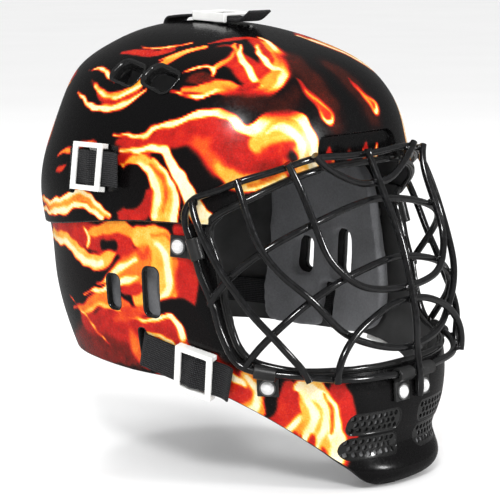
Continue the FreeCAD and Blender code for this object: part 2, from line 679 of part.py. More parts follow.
def make_rim_fittings():
    rim = doc.getObject("cage_rim_wire")
    ground = doc.addObject("Part::Feature", "jaw_form")
    ground.Shape = form(0.2 - size("jaw_sink"))
    clips = []
    for name in CLIP_SEATS:
        clips += make_clip(name, rim, ground)
    return clips


def bore_shells():
    """Screw holes through the jaw at the clip seats."""
    jaw = doc.getObject("jaw_shell")
    bores = []
    for (point, normal), _ in CLIP_SEATS.values():
        base = seat_placement(point, normal, Vector(0, 0, 1))
        bore = Part.makeCylinder(size("shank_round") + 0.2, 20, Vector(0, 0, -10))
        bore.Placement = base
        bores += [bore, mirrored(bore)]
    jaw.Shape = jaw.Shape.cut(bores)


def build():
    make_crown()
    make_jaw()
    make_grilles()
    make_cage()
    make_pads()
    make_back()
    make_side_strap("upper_strap", size("crown_lift"), UPPER_BAND)
    make_side_strap("lower_strap", -size("jaw_sink"), LOWER_BAND)
    make_top_strap()
    make_sliders()
    make_fasteners()
    make_tabs()
    make_rim_fittings()
    bore_shells()
    doc.recompute()


NODES = ["crown_shell", "jaw_shell"]
NODES += ["chin_grille_%s_%s" % (level, side) for level in GRILLES for side in ("right", "left")]
NODES += ["cage_rim_wire", "cage_centre_wire", "cage_side_wire_right", "cage_side_wire_left"] + list(ARCHES)
NODES += ["%s_clip_%s" % (name, side) for name in CLIP_SEATS for side in ("right", "left")]
NODES += ["cage_screws", "cage_washers", "cage_nuts"]
NODES += ["cheek_pad_right", "cheek_pad_left", "forehead_pad", "crown_pad", "chin_pad"]
NODES += ["top_strap", "upper_strap_right", "upper_strap_left", "lower_strap_right", "lower_strap_left"]
NODES += ["top_slider", "upper_slider_right", "upper_slider_left", "lower_slider_right", "lower_slider_left"]
NODES += ["back_plate", "back_pad", "strap_tabs", "strap_rivets"]


def check_and_export():
    for item in doc.Objects:
        if "Invalid" in item.State or "Error" in item.State:
            raise RuntimeError("broken feature " + item.Name)
    by_label = {item.Label: item for item in doc.Objects}
    os.makedirs("parts", exist_ok=True)
    for node in NODES:
        shape = by_label[node].Shape
        if shape.isNull() or not shape.isValid() or shape.Volume <= 0:
            raise RuntimeError("bad shape " + node)
        shape.exportStep("parts/%s.step" % node)
        box = shape.optimalBoundingBox(False)
        print("%-24s %9.1f mm3  x %.1f..%.1f  y %.1f..%.1f  z %.1f..%.1f" % (
            node, shape.Volume, box.XMin, box.XMax, box.YMin, box.YMax, box.ZMin, box.ZMax))


build()
check_and_export()
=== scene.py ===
import json
import math

import bmesh
import bpy
import numpy as np
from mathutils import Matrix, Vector
from mathutils.kdtree import KDTree


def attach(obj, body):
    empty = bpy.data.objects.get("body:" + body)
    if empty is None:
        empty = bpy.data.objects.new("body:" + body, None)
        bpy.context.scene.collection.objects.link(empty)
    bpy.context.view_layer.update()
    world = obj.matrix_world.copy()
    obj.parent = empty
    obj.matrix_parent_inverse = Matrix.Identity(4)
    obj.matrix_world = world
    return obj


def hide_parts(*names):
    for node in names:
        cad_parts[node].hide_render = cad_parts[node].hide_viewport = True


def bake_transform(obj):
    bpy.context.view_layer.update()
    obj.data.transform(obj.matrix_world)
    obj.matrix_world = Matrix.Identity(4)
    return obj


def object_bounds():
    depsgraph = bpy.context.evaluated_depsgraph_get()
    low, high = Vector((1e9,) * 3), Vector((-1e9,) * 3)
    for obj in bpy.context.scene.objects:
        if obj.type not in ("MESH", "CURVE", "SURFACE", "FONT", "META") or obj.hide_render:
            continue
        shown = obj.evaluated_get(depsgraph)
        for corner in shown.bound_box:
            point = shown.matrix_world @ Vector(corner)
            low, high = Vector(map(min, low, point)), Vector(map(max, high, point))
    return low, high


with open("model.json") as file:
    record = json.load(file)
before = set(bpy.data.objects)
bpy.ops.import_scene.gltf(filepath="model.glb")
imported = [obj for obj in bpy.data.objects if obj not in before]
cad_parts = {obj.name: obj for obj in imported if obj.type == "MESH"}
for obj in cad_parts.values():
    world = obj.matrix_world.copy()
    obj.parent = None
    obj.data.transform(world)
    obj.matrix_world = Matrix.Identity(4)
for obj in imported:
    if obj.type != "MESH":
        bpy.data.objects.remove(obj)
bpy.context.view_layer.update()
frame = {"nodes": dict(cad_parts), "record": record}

# Looks of the street goalie mask. Lengths in the shape code are in mm, in the CAD frame.
MM = 0.001
GRID = 1.25
FAR = 999.0
SIDES = (("right", 1), ("left", -1))

# ---------------- helmet form
# Level sections from the neck up: height, half width, front and rear.
LEVELS = np.array([
    (-130, 50, -114, 60), (-125, 60, -125, 75), (-115, 69, -129, 88), (-104, 76, -122, 97),
    (-92, 82, -124, 105), (-78, 88, -126, 112), (-60, 94, -124, 119), (-40, 98, -117, 126),
    (-15, 101, -108, 131), (10, 102, -101, 133), (35, 102, -95, 138), (60, 100, -88, 134),
    (83, 95, -83, 125), (100, 88, -75, 119), (114, 78, -62, 111), (126, 61, -40, 95),
    (135, 41, -12, 76), (140, 18, 16, 54), (141, 6, 30, 42)], float)
TOP_LEVEL = LEVELS[-1][0]
FRONT_POWER, REAR_POWER, MIDDLE_SHARE = 2.6, 2.3, 0.47
CROWN_LIFT, JAW_SINK, WALL = 1.0, 1.8, 2.6
# A section for spacing points, the distance round it, and the rings that close the top.
TYPICAL_RING, GIRTH, CAP_SHARES = (101, -105, 132), 720, (0.66, 0.33, 0.02)


def smooth_curve(knots, values, at):
    """Natural cubic through the values at the knots, read at the places asked for."""
    knots, values, at = (np.asarray(v, float) for v in (knots, values, at))
    gaps = np.diff(knots)
    system, right = np.eye(len(knots)), np.zeros(len(knots))
    for k in range(1, len(knots) - 1):
        system[k, k - 1:k + 2] = gaps[k - 1], 2 * (gaps[k - 1] + gaps[k]), gaps[k]
        right[k] = 6 * ((values[k + 1] - values[k]) / gaps[k] - (values[k] - values[k - 1]) / gaps[k - 1])
    bend = np.linalg.solve(system, right)
    k = np.clip(np.searchsorted(knots, at) - 1, 0, len(knots) - 2)
    t = at - knots[k]
    slope = (values[k + 1] - values[k]) / gaps[k] - gaps[k] * (2 * bend[k] + bend[k + 1]) / 6
    return values[k] + t * slope + t ** 2 * bend[k] / 2 + t ** 3 * (bend[k + 1] - bend[k]) / (6 * gaps[k])


def run_along(line):
    """Distance of each point of a line from its start."""
    return np.concatenate([[0], np.cumsum(np.linalg.norm(np.diff(line, axis=0), axis=1))])


def respaced(line, count):
    line = np.asarray(line, float)
    run = run_along(line)
    even = np.linspace(0, run[-1], count)
    return np.stack([np.interp(even, run, column) for column in line.T], 1)


def smooth_path(points, step):
    """Evenly spaced points on a smooth line through the given points."""
    points = np.asarray(points, float)
    spots = run_along(points)
    fine = np.linspace(0, spots[-1], max(2, int(spots[-1] / step * 4)))
    line = np.stack([smooth_curve(spots, column, fine) for column in points.T], 1)
    return respaced(line, max(2, int(round(run_along(line)[-1] / step)) + 1))


def offset_levels(offset):
    """The level sections moved out along the form's slope."""
    rows = []
    for k, (height, half, front, rear) in enumerate(LEVELS):
        low, high = LEVELS[max(k - 1, 0)], LEVELS[min(k + 1, len(LEVELS) - 1)]
        rise = high[0] - low[0]
        spread = (high[1] - low[1] + (high[3] - high[2] - low[3] + low[2]) / 2) / 2
        out, up = rise / math.hypot(rise, spread), -spread / math.hypot(rise, spread)
        if k == len(LEVELS) - 1:
            out, up = 0.0, 1.0
        rows.append((height + offset * up, half + offset * out, front - offset * out, rear + offset * out))
    return np.array(rows)


PROFILE = run_along(LEVELS[:, :2] * (1, 0.8))


def level_sizes(offset, spots):
    """Height, half width, front and rear at places along the profile."""
    rows = offset_levels(offset)
    return [smooth_curve(PROFILE, rows[:, k], spots) for k in range(4)]


def spots_at(offset, heights):
    fine = np.linspace(0, PROFILE[-1], 3000)
    return np.interp(heights, smooth_curve(PROFILE, offset_levels(offset)[:, 0], fine), fine)


def section_halves(front, rear, in_front):
    """Power and reach of a section, before or behind its middle."""
    middle = front + MIDDLE_SHARE * (rear - front)
    ahead = in_front(middle)
    return middle, np.where(ahead, FRONT_POWER, REAR_POWER), np.where(ahead, front - middle, rear - middle)


def ring_points(half, front, rear, turn):
    side, ahead = np.sin(turn), np.cos(turn)
    middle, power, reach = section_halves(front, rear, lambda _: ahead > 0)
    return half * np.sign(side) * np.abs(side) ** (2 / power), middle + reach * np.abs(ahead) ** (2 / power)


def even_turns(count):
    """Ring parameters that space points evenly round a section."""
    fine = np.linspace(0, 2 * math.pi, 40001)
    run = run_along(np.stack(ring_points(*TYPICAL_RING, fine), 1))
    return np.interp(np.linspace(0, run[-1], count, endpoint=False), run, fine)


def side_point(y, z, offset):
    """Point of the right-hand side of the form at (y, z)."""
    y, z = np.broadcast_arrays(np.asarray(y, float), np.asarray(z, float))
    _, half, front, rear = level_sizes(offset, spots_at(offset, z))
    middle, power, reach = section_halves(front, rear, lambda middle: y < middle)
    share = np.clip(np.abs((y - middle) / reach), 0, 1)
    return np.stack([-half * (1 - share ** power) ** (1 / power), y, z], -1)


def round_point(azimuth, z, offset):
    """Point of the form at degrees round from the face (right is positive) and a height."""
    turn = np.radians(np.asarray(azimuth, float))
    z = np.broadcast_to(np.asarray(z, float), turn.shape)
    _, half, front, rear = level_sizes(offset, spots_at(offset, z))
    radius = np.full(turn.shape, 100.0)
    for _ in range(25):
        x, y = -radius * np.sin(turn), -radius * np.cos(turn)
        middle, power, reach = section_halves(front, rear, lambda middle: y < middle)
        level = (np.abs(x / half) ** power + np.abs((y - middle) / reach) ** power) ** (1 / power)
        radius = radius * (0.35 + 0.65 / np.maximum(level, 0.05))
    return np.stack([-radius * np.sin(turn), -radius * np.cos(turn), z], -1)


# ---------------- openings
# Outlines in the side view as (y, z); slots as (y from, y to, z from, z to).
SEAM = [(-170, 29), (-60, 30), (5, 29), (77, 20), (170, 12)]
NECK = [(140, -64), (43, -63), (0, -64), (-32, -65), (-57, -72), (-79, -83), (-93, -94.5), (-105, -107),
        (-113.5, -114), (-117.5, -123), (-119, -138)]
FACE = [(-89, 60.5), (-84, 57), (-76.7, 51.3), (-62.3, 41), (-51, 33), (-47.5, 27), (-49, 20), (-53, 10),
        (-58, -12), (-64.5, -35), (-67.5, -41), (-73, -45.5), (-81, -48), (-96, -50.5), (-112, -51),
        (-122, -52), (-132, -54)]
EAR_SLOTS = [(18, 29, -26, -5), (-13.5, -1.5, -27, 2.5)]
UPPER_SLOT, LOWER_SLOT = (54.5, 60.5, 42, 70), (-0.5, 5, -58.5, -35.5)
TOP_SLOT = (-11, 11, 60, 66)
VENTS, VENT_LONG, VENT_HALF, VENT_RADIUS = [(28.5, 114), (1, 112)], (-0.2, -0.96, -0.2), (11.5, 7), 4.5
GRILLE_HEIGHTS, GRILLE_X, GRILLE_HALF = (-86, -101), 28, (19, 6)
REAR_MIDDLE, REAR_HALF, REAR_RADIUS = -60, (58, 140.5), 18.5
# Brow pocket: half width, top, bottom, corner radius and the y of its floor.
POCKET_HALF, POCKET_TOP, POCKET_LOW, POCKET_RADIUS, POCKET_FLOOR = 38, 79, 20, 10, -80
BROW_EDGE, BROW_HALF = 58.5, 40
TUCK = 7
# Where each kind of opening may cut: how far out, back, up or forward.
SIDE_FROM, REAR_FROM, TOP_FROM, FRONT_TO, BROW_TO, VENT_DEPTH = 50, 40, 100, -60, -40, 25


def loop_distance(a, b, loop):
    """Signed distance in a plane to a closed loop, positive outside."""
    best, inside = np.full(a.shape, FAR), np.zeros(a.shape, bool)
    for (a0, b0), (a1, b1) in zip(loop, np.roll(loop, -1, axis=0)):
        run_a, run_b = a1 - a0, b1 - b0
        share = np.clip(((a - a0) * run_a + (b - b0) * run_b) / (run_a ** 2 + run_b ** 2 + 1e-12), 0, 1)
        best = np.minimum(best, np.hypot(a - a0 - share * run_a, b - b0 - share * run_b))
        if b0 != b1:
            inside ^= ((b0 > b) != (b1 > b)) & (a < a0 + (b - b0) * run_a / run_b)
    return np.where(inside, -best, best)


def box_distance(a, b, half, radius):
    """Signed distance to a rounded rectangle about the origin."""
    qa, qb = np.abs(a) - half[0] + radius, np.abs(b) - half[1] + radius
    return np.hypot(np.maximum(qa, 0), np.maximum(qb, 0)) + np.minimum(np.maximum(qa, qb), 0) - radius


def slot_distance(a, b, box):
    half = (box[1] - box[0]) / 2, (box[3] - box[2]) / 2
    return box_distance(a - box[0] - half[0], b - box[2] - half[1], half, 0.7 * min(half))


FACE_LOOP = np.vstack([smooth_path(FACE, 3), [(-200, -54), (-200, 60.5)]])
NECK_LOOP = np.vstack([smooth_path(NECK, 3), [(-119, -180), (140, -180)]])


def seam_height(y):
    return smooth_curve(*zip(*SEAM), y)


def vent_seat(y, z):
    """Middle and axes of a crown vent on the right-hand side."""
    point = side_point(y, z, CROWN_LIFT)
    ahead, up = side_point(y - 1, z, CROWN_LIFT) - point, side_point(y, z + 1, CROWN_LIFT) - point
    normal = np.cross(ahead, up)
    normal *= (1 if normal[0] < 0 else -1) / np.linalg.norm(normal)
    long = np.array(VENT_LONG)
    long -= normal * (long @ normal)
    long /= np.linalg.norm(long)
    return point, long, np.cross(normal, long), normal


VENT_SEATS = [vent_seat(*v) for v in VENTS]


def shared_fields(x, y, z):
    """Signed distances to the openings that both shells have, negative inside the opening."""
    rear = box_distance(x, z - REAR_MIDDLE, REAR_HALF, REAR_RADIUS)
    return {"face": loop_distance(y, z, FACE_LOOP), "rear": np.where(y > REAR_FROM, rear, FAR)}


def crown_fields(p):
    x, y, z = p.T
    side = np.stack([-np.abs(x), y, z], 1)
    fields = shared_fields(x, y, z)
    below_pocket = np.maximum(np.maximum(np.abs(x) - BROW_HALF, z - BROW_EDGE), y - FRONT_TO)
    fields["face"] = np.minimum(fields["face"], below_pocket)
    fields["seam"] = z - seam_height(y)
    fields["slot"] = np.where(np.abs(x) > SIDE_FROM, slot_distance(y, z, UPPER_SLOT), FAR)
    fields["top"] = np.where(z > TOP_FROM, slot_distance(x, y, TOP_SLOT), FAR)
    fields["vent"] = np.full(len(p), FAR)
    for point, long, across, normal in VENT_SEATS:
        local = side - point
        flat = box_distance(local @ long, local @ across, VENT_HALF, VENT_RADIUS)
        fields["vent"] = np.minimum(fields["vent"], np.where(np.abs(local @ normal) < VENT_DEPTH, flat, FAR))
    return fields


def jaw_fields(p):
    x, y, z = p.T
    fields = shared_fields(x, y, z)
    fields["tuck"] = seam_height(y) + TUCK - z
    fields["neck"] = loop_distance(y, z, NECK_LOOP)
    slots = np.min([slot_distance(y, z, box) for box in EAR_SLOTS + [LOWER_SLOT]], axis=0)
    fields["slot"] = np.where(np.abs(x) > SIDE_FROM, slots, FAR)
    grilles = np.min([box_distance(np.abs(x) - GRILLE_X, z - height, GRILLE_HALF, GRILLE_HALF[1] * 0.85)
                      for height in GRILLE_HEIGHTS], axis=0)
    fields["grille"] = np.where(y < FRONT_TO, grilles, FAR)
    return fields


def pocket_field(points, margin=0.0):
    """Signed distance to the brow pocket's outline, grown by a margin."""
    half = POCKET_HALF + margin, (POCKET_TOP - POCKET_LOW) / 2 + margin
    flat = box_distance(points[:, 0], points[:, 2] - (POCKET_TOP + POCKET_LOW) / 2, half, POCKET_RADIUS)
    return np.where(points[:, 1] < BROW_TO, flat, FAR)


def eased(t):
    return t * t * (3 - 2 * t)


# ---------------- mesh kernel
# Share of an edge within which a cut moves to its end, and the fewest points of an opening.
SNAP, LEAST_LOOP = 0.12, 8


def form_grid(offset, low, high, step):
    """Points and triangles of the form between two heights, closed over the top if it reaches there."""
    closed = high > TOP_LEVEL
    start, stop = spots_at(offset, [low, high])
    if closed:
        stop = PROFILE[-1]
    spots = np.linspace(start, stop, int((stop - start) / step) + 2)
    turns = even_turns(int(GIRTH / step))
    rows = []
    for height, half, front, rear in zip(*level_sizes(offset, spots)):
        x, y = ring_points(half, front, rear, turns)
        rows.append(np.stack([-x, y, np.full(len(x), height)], 1))
    if closed:
        centre = rows[-1].mean(0)
        rows += [centre + (rows[-1] - centre) * share for share in CAP_SHARES]
    count = len(turns)
    points = np.concatenate(rows)
    i, j = np.meshgrid(np.arange(len(rows) - 1), np.arange(count), indexing="ij")
    a, b = (i * count + j).ravel(), (i * count + (j + 1) % count).ravel()
    tris = np.concatenate([np.stack([b + count, b, a], 1), np.stack([a + count, b + count, a], 1)])
    if closed:
        last = (len(rows) - 1) * count + np.arange(count)
        tris = np.concatenate([tris, np.stack([np.full(count, len(points)), np.roll(last, -1), last], 1)])
        points = np.vstack([points, centre])
    return points, tris


def directed_edges(tris):
    return np.concatenate([tris[:, [0, 1]], tris[:, [1, 2]], tris[:, [2, 0]]])


def cut_along(values, tris, column, level):
    """Adds mesh edges along the line where a column of vertex values is at a level."""
    values = values.copy()
    f = values[:, column] - level
    edges = np.sort(directed_edges(tris), axis=1)
    edges = np.unique(edges[f[edges[:, 0]] * f[edges[:, 1]] < 0], axis=0)
    a, b = edges.T
    share = f[a] / (f[a] - f[b])
    near = np.concatenate([a[share < SNAP], b[share > 1 - SNAP]])
    f[near] = 0
    values[near, column] = level
    still = f[a] * f[b] < 0
    a, b = a[still], b[still]
    share = f[a] / (f[a] - f[b])
    fresh = values[a] + (values[b] - values[a]) * share[:, None]
    fresh[:, column] = level

    def key(p, q):
        return np.minimum(p, q).astype(np.int64) * (1 << 31) + np.maximum(p, q)

    keys = key(a, b)
    order = np.argsort(keys)
    keys, fresh = keys[order], fresh[order]
    first = len(values)
    values = np.vstack([values, fresh])
    f = np.concatenate([f, np.zeros(len(fresh))])

    def between(p, q):
        return first + np.searchsorted(keys, key(p, q))

    sign = np.sign(f[tris])
    mixed = (sign.max(1) > 0) & (sign.min(1) < 0)
    out = [tris[~mixed]]
    for turn in range(3):
        t, s = np.roll(tris, -turn, axis=1)[mixed], np.roll(sign, -turn, axis=1)[mixed]
        odd = (s[:, 0] != 0) & (s[:, 1] == -s[:, 0]) & (s[:, 2] == -s[:, 0])
        p, q, r = t[odd].T
        m, n = between(p, q), between(p, r)
        out += [np.stack([p, m, n], 1), np.stack([m, q, r], 1), np.stack([m, r, n], 1)]
        through = (s[:, 0] == 0) & (s[:, 1] * s[:, 2] < 0)
        p, q, r = t[through].T
        m = between(q, r)
        out += [np.stack([p, q, m], 1), np.stack([p, m, r], 1)]
    return values, np.concatenate(out)


def trimmed(values, tris, column, level):
    """The mesh cut where a column of values is at a level, with what is below it dropped."""
    values, tris = cut_along(values, tris, column, level)
    f = values[:, column]
    tris = tris[(f[tris].min(1) > level - 1e-6) & (f[tris].max(1) > level + 1e-6)]
    used = np.unique(tris)
    place = np.full(len(values), -1)
    place[used] = np.arange(len(used))
    return values[used], place[tris]


def vertex_normals(points, tris):
    a, b, c = (points[tris[:, k]] for k in range(3))
    flat = np.cross(b - a, c - a)
    total = np.zeros_like(points)
    for k in range(3):
        np.add.at(total, tris[:, k], flat)
    return total / (np.linalg.norm(total, axis=1, keepdims=True) + 1e-12)


def edge_loops(tris):
    """Closed loops of vertex numbers round the open edges, with the material on their left."""
    there = set(map(tuple, directed_edges(tris).tolist()))
    follow = {a: b for a, b in there if (b, a) not in there}
    loops = []
    while follow:
        start, here = next(iter(follow.items()))
        loop = [start]
        del follow[start]
        while here != start and here in follow:
            loop.append(here)
            here = follow.pop(here)
        loops.append(np.array(loop))
    return [loop for loop in loops if len(loop) > LEAST_LOOP]


def placed(name, mesh, materials=(), smooth=True):
    """A new piece in the scene, with the mesh's materials replaced where some are given."""
    if materials:
        mesh.materials.clear()
    for look in materials:
        mesh.materials.append(look)
    if smooth:
        mesh.polygons.foreach_set("use_smooth", [True] * len(mesh.polygons))
    piece = bpy.data.objects.new(name, mesh)
    bpy.context.scene.collection.objects.link(piece)
    return piece


def new_piece(name, points, faces, materials):
    mesh = bpy.data.meshes.new(name)
    mesh.from_pydata((np.asarray(points) * MM).tolist(), [], [list(map(int, f)) for f in faces])
    mesh.update()
    return placed(name, mesh, materials)


def cad_copy(node, name, look):
    """A copy of a CAD part with one material."""
    return placed(name, frame["nodes"][node].data.copy(), [look], smooth=False)


def declare(piece, body, node):
    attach(piece, body)
    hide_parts(node)


def read_points(mesh, field="co", unit=MM):
    places = np.zeros(len(mesh.vertices) * 3)
    mesh.vertices.foreach_get(field, places)
    return places.reshape(-1, 3) / unit


def write_points(mesh, points):
    mesh.vertices.foreach_set("co", (points * MM).ravel())
    mesh.update()


def evened(values, passes=4):
    """Values round a loop, averaged with their neighbours."""
    for _ in range(passes):
        values = 0.5 * values + 0.25 * (np.roll(values, 1, 0) + np.roll(values, -1, 0))
    return values


# ---------------- node materials
class Look:
    """Nodes of a material or world, put together round its main shader."""

    def __init__(self, made, main="Principled BSDF"):
        made.use_nodes = True
        self.made, self.nodes = made, made.node_tree.nodes
        self.shader = self.nodes[main]

    def put(self, socket, value):
        """Sets a socket to a constant, or links another node's output to it."""
        if isinstance(value, bpy.types.NodeSocket):
            self.made.node_tree.links.new(value, socket)
        else:
            socket.default_value = value

    def shade(self, **values):
        """Sets the shader's own sockets; an underscore stands for a space."""
        for key, value in values.items():
            self.put(self.shader.inputs[key.replace("_", " ")], value)

    def node(self, kind, output, inputs, **settings):
        made = self.nodes.new("ShaderNode" + kind)
        for key, value in settings.items():
            setattr(made, key, value)
        for key, value in inputs.items():
            self.put(made.inputs[key], value)
        return made.outputs[output]

    def place(self, scale=None):
        spot = self.node("TexCoord", "Object", {})
        return spot if scale is None else self.node("Mapping", "Vector", {"Vector": spot, "Scale": scale})

    def noise(self, scale, detail=4.0, rough=0.55, stretch=None, distortion=0.0):
        return self.node("TexNoise", "Fac", {"Vector": self.place(stretch), "Scale": scale, "Detail": detail,
                                             "Roughness": rough, "Distortion": distortion})

    def cells(self, scale):
        return self.node("TexVoronoi", "Distance", {"Vector": self.place(), "Scale": scale})

    def spread(self, source, low, high, to_low, to_high):
        return self.node("MapRange", "Result", {"Value": source, "From Min": low, "From Max": high,
                                                "To Min": to_low, "To Max": to_high})

    def math(self, operation, a, b):
        return self.node("Math", "Value", {0: a, 1: b}, operation=operation)

    def mix(self, share, a, b):
        """Colour a turning to the constant colour b by share."""
        return self.node("Mix", 2, {0: share, 6: a, 7: (*b, 1)}, data_type="RGBA")

    def ramp(self, source, *stops):
        made = self.nodes.new("ShaderNodeValToRGB")
        row = made.color_ramp.elements
        for end, (place, colour) in zip(row, (stops[0], stops[-1])):
            end.position, end.color = place, (*colour, 1)
        for place, colour in stops[1:-1]:
            row.new(place).color = (*colour, 1)
        self.put(made.inputs["Fac"], source)
        return made.outputs["Color"]

    def bump(self, height, strength, distance):
        self.shade(Normal=self.node("Bump", "Normal", {"Height": height, "Strength": strength,
                                                       "Distance": distance}))


def new_look(name):
    return Look(bpy.data.materials.new(name))


def grey(level):
    return level, level, level


def plastic(name, low, high, rough, grain_scale, grain, coat=0.0, wear=0.0):
    """Moulded plastic: slight mottling, moulding grain, uneven gloss and light scuffs."""
    look = new_look(name)
    broad = look.noise(60, 5)
    worn = look.spread(look.noise(240.0, 6.0, 0.5, (1.0, 0.25, 2.2), 1.5), 0.62, 0.75, 0.0, wear)
    paler = [min(1.0, c + 0.12) for c in high]
    uneven = look.spread(broad, 0.3, 0.7, rough * 0.85, rough * 1.2)
    look.shade(Base_Color=look.mix(worn, look.ramp(broad, (0.3, low), (0.7, high)), paler),
               Roughness=look.math("ADD", uneven, look.math("MULTIPLY", worn, 0.5)),
               Coat_Weight=coat, Coat_Roughness=0.08)
    look.bump(look.noise(grain_scale, 3), grain, 0.0004)
    return look.made


FLAME_STOPS = [(0.0, (0.003, 0.0028, 0.003)), (0.10, (0.008, 0.003, 0.003)), (0.22, (0.045, 0.007, 0.004)),
               (0.34, (0.20, 0.008, 0.005)), (0.46, (0.50, 0.010, 0.007)), (0.58, (0.68, 0.055, 0.008)),
               (0.70, (0.82, 0.21, 0.012)), (0.80, (0.90, 0.40, 0.035)), (0.89, (0.93, 0.62, 0.17)),
               (1.0, (0.93, 0.82, 0.58))]


def printed_shell():
    """Glossy black shell under a printed flame film: the print_heat attribute picks the print's colour."""
    look = new_look("printed_shell")
    heat = look.node("Attribute", "Fac", {}, attribute_name="print_heat")
    dots = look.spread(look.noise(1400, 2), 0.3, 0.7, -0.045, 0.045)
    waves = look.spread(look.noise(110, 5, 0.6), 0.3, 0.7, -0.05, 0.05)
    share = look.math("MINIMUM", look.math("MULTIPLY", heat, 4.0), 1.0)
    change = look.math("MULTIPLY", look.math("ADD", dots, waves), share)
    look.shade(Base_Color=look.ramp(look.math("ADD", heat, change), *FLAME_STOPS),
               Roughness=look.spread(look.noise(420, 8, 0.7), 0.35, 0.75, 0.18, 0.36),
               Specular_IOR_Level=0.25, Coat_Weight=0.12, Coat_Roughness=0.07)
    look.bump(look.noise(190, 2), 0.05, 0.0005)
    return look.made


def coated_wire():
    """Dipped black coating with runs and a few chips."""
    look = new_look("coated_wire")
    flow = look.noise(330, 4)
    worn = look.spread(look.cells(310.0), 0.05, 0.09, 0.35, 0.0)
    sparse = look.spread(look.noise(45, 2), 0.60, 0.68, 0.0, 1.0)
    colour = look.ramp(flow, (0.35, grey(0.003)), (0.7, (0.008, 0.008, 0.009)))
    look.shade(Base_Color=look.mix(look.math("MULTIPLY", worn, sparse), colour, (0.22, 0.22, 0.23)),
               Roughness=look.spread(flow, 0.3, 0.7, 0.13, 0.24), Coat_Weight=0.8, Coat_Roughness=0.09)
    look.bump(flow, 0.10, 0.0005)
    return look.made


def bright_metal(name, level, rough, metal=0.75):
    """Drawn metal with fine marks along its length."""
    look = new_look(name)
    marks = look.noise(900.0, 6.0, 0.5, (1.0, 0.1, 1.0))
    look.shade(Base_Color=look.ramp(marks, (0.3, grey(level * 0.82)), (0.7, grey(level))),
               Roughness=look.spread(marks, 0.3, 0.7, rough, rough * 1.6), Metallic=metal)
    look.bump(marks, 0.12, 0.0003)
    return look.made


def foam_skin(name, dark, light):
    """Closed-cell foam: fine cells, soft sheen and a little scattered dust."""
    look = new_look(name)
    broad = look.noise(38, 5)
    tone = look.math("ADD", look.math("MULTIPLY", look.noise(700, 3), 0.45), look.math("MULTIPLY", broad, 0.55))
    look.shade(Base_Color=look.ramp(tone, (0.25, dark), (0.75, light)),
               Roughness=look.spread(broad, 0.3, 0.7, 0.62, 0.85), Sheen_Weight=0.25, Sheen_Roughness=0.5)
    look.bump(look.cells(1300.0), 0.35, 0.0004)
    return look.made


def woven(name, low, high, pitch=1.25):
    """Knitted elastic webbing: V-shaped loops in columns along the strap, from its own coordinates in mm."""
    look = new_look(name)
    strap = look.node("UVMap", "UV", {}, uv_map="strap")
    along, across = (look.node("SeparateXYZ", axis, {"Vector": strap}) for axis in "XY")
    lean = look.math("PINGPONG", across, pitch / 2)
    wave = look.math("PINGPONG", look.math("ADD", along, lean), pitch / 2.4)
    rows = look.spread(wave, 0.0, pitch / 2.4, 0.0, 1.0)
    ribs = look.spread(lean, 0.0, pitch / 2, 0.25, 1.0)
    fuzz = look.noise(1800, 3)
    mixed = look.math("ADD", look.math("MULTIPLY", rows, ribs), look.spread(fuzz, 0.3, 0.7, -0.25, 0.25))
    look.shade(Base_Color=look.ramp(mixed, (0.25, low), (0.95, high)),
               Roughness=look.spread(fuzz, 0.3, 0.7, 0.7, 0.95), Sheen_Weight=0.06, Specular_IOR_Level=0.25)
    look.bump(mixed, 0.9, 0.0006)
    return look.made


PRINT = printed_shell()
EDGE_BLACK = plastic("edge_black", grey(0.006), grey(0.014), 0.16, 500, 0.05, coat=0.5, wear=0.15)
INNER_BLACK = plastic("inner_black", grey(0.035), grey(0.060), 0.42, 900, 0.15, wear=0.1)
PLATE_BLACK = plastic("plate_black", grey(0.012), grey(0.024), 0.38, 1100, 0.25, wear=0.2)
CLIP_BLACK = plastic("clip_black", grey(0.010), grey(0.022), 0.33, 1000, 0.15, coat=0.2, wear=0.25)
GRILLE_BLACK = plastic("grille_black", grey(0.006), grey(0.014), 0.16, 600, 0.05, coat=0.7, wear=0.2)
SLIDER_WHITE = plastic("slider_white", (0.80, 0.80, 0.78), (0.90, 0.90, 0.88), 0.34, 800, 0.08, coat=0.15)
WIRE = coated_wire()
SCREW = bright_metal("screw_steel", 0.93, 0.36, 0.25)
RIVET = bright_metal("rivet_steel", 0.62, 0.28)
WASHER = bright_metal("washer_steel", 0.22, 0.36)
FOAM = foam_skin("foam_skin", (0.10, 0.102, 0.108), (0.21, 0.214, 0.225))
FOAM_LIGHT = foam_skin("foam_light", (0.26, 0.26, 0.27), (0.42, 0.42, 0.43))
WEBBING = woven("webbing", (0.002, 0.002, 0.003), (0.075, 0.075, 0.08))


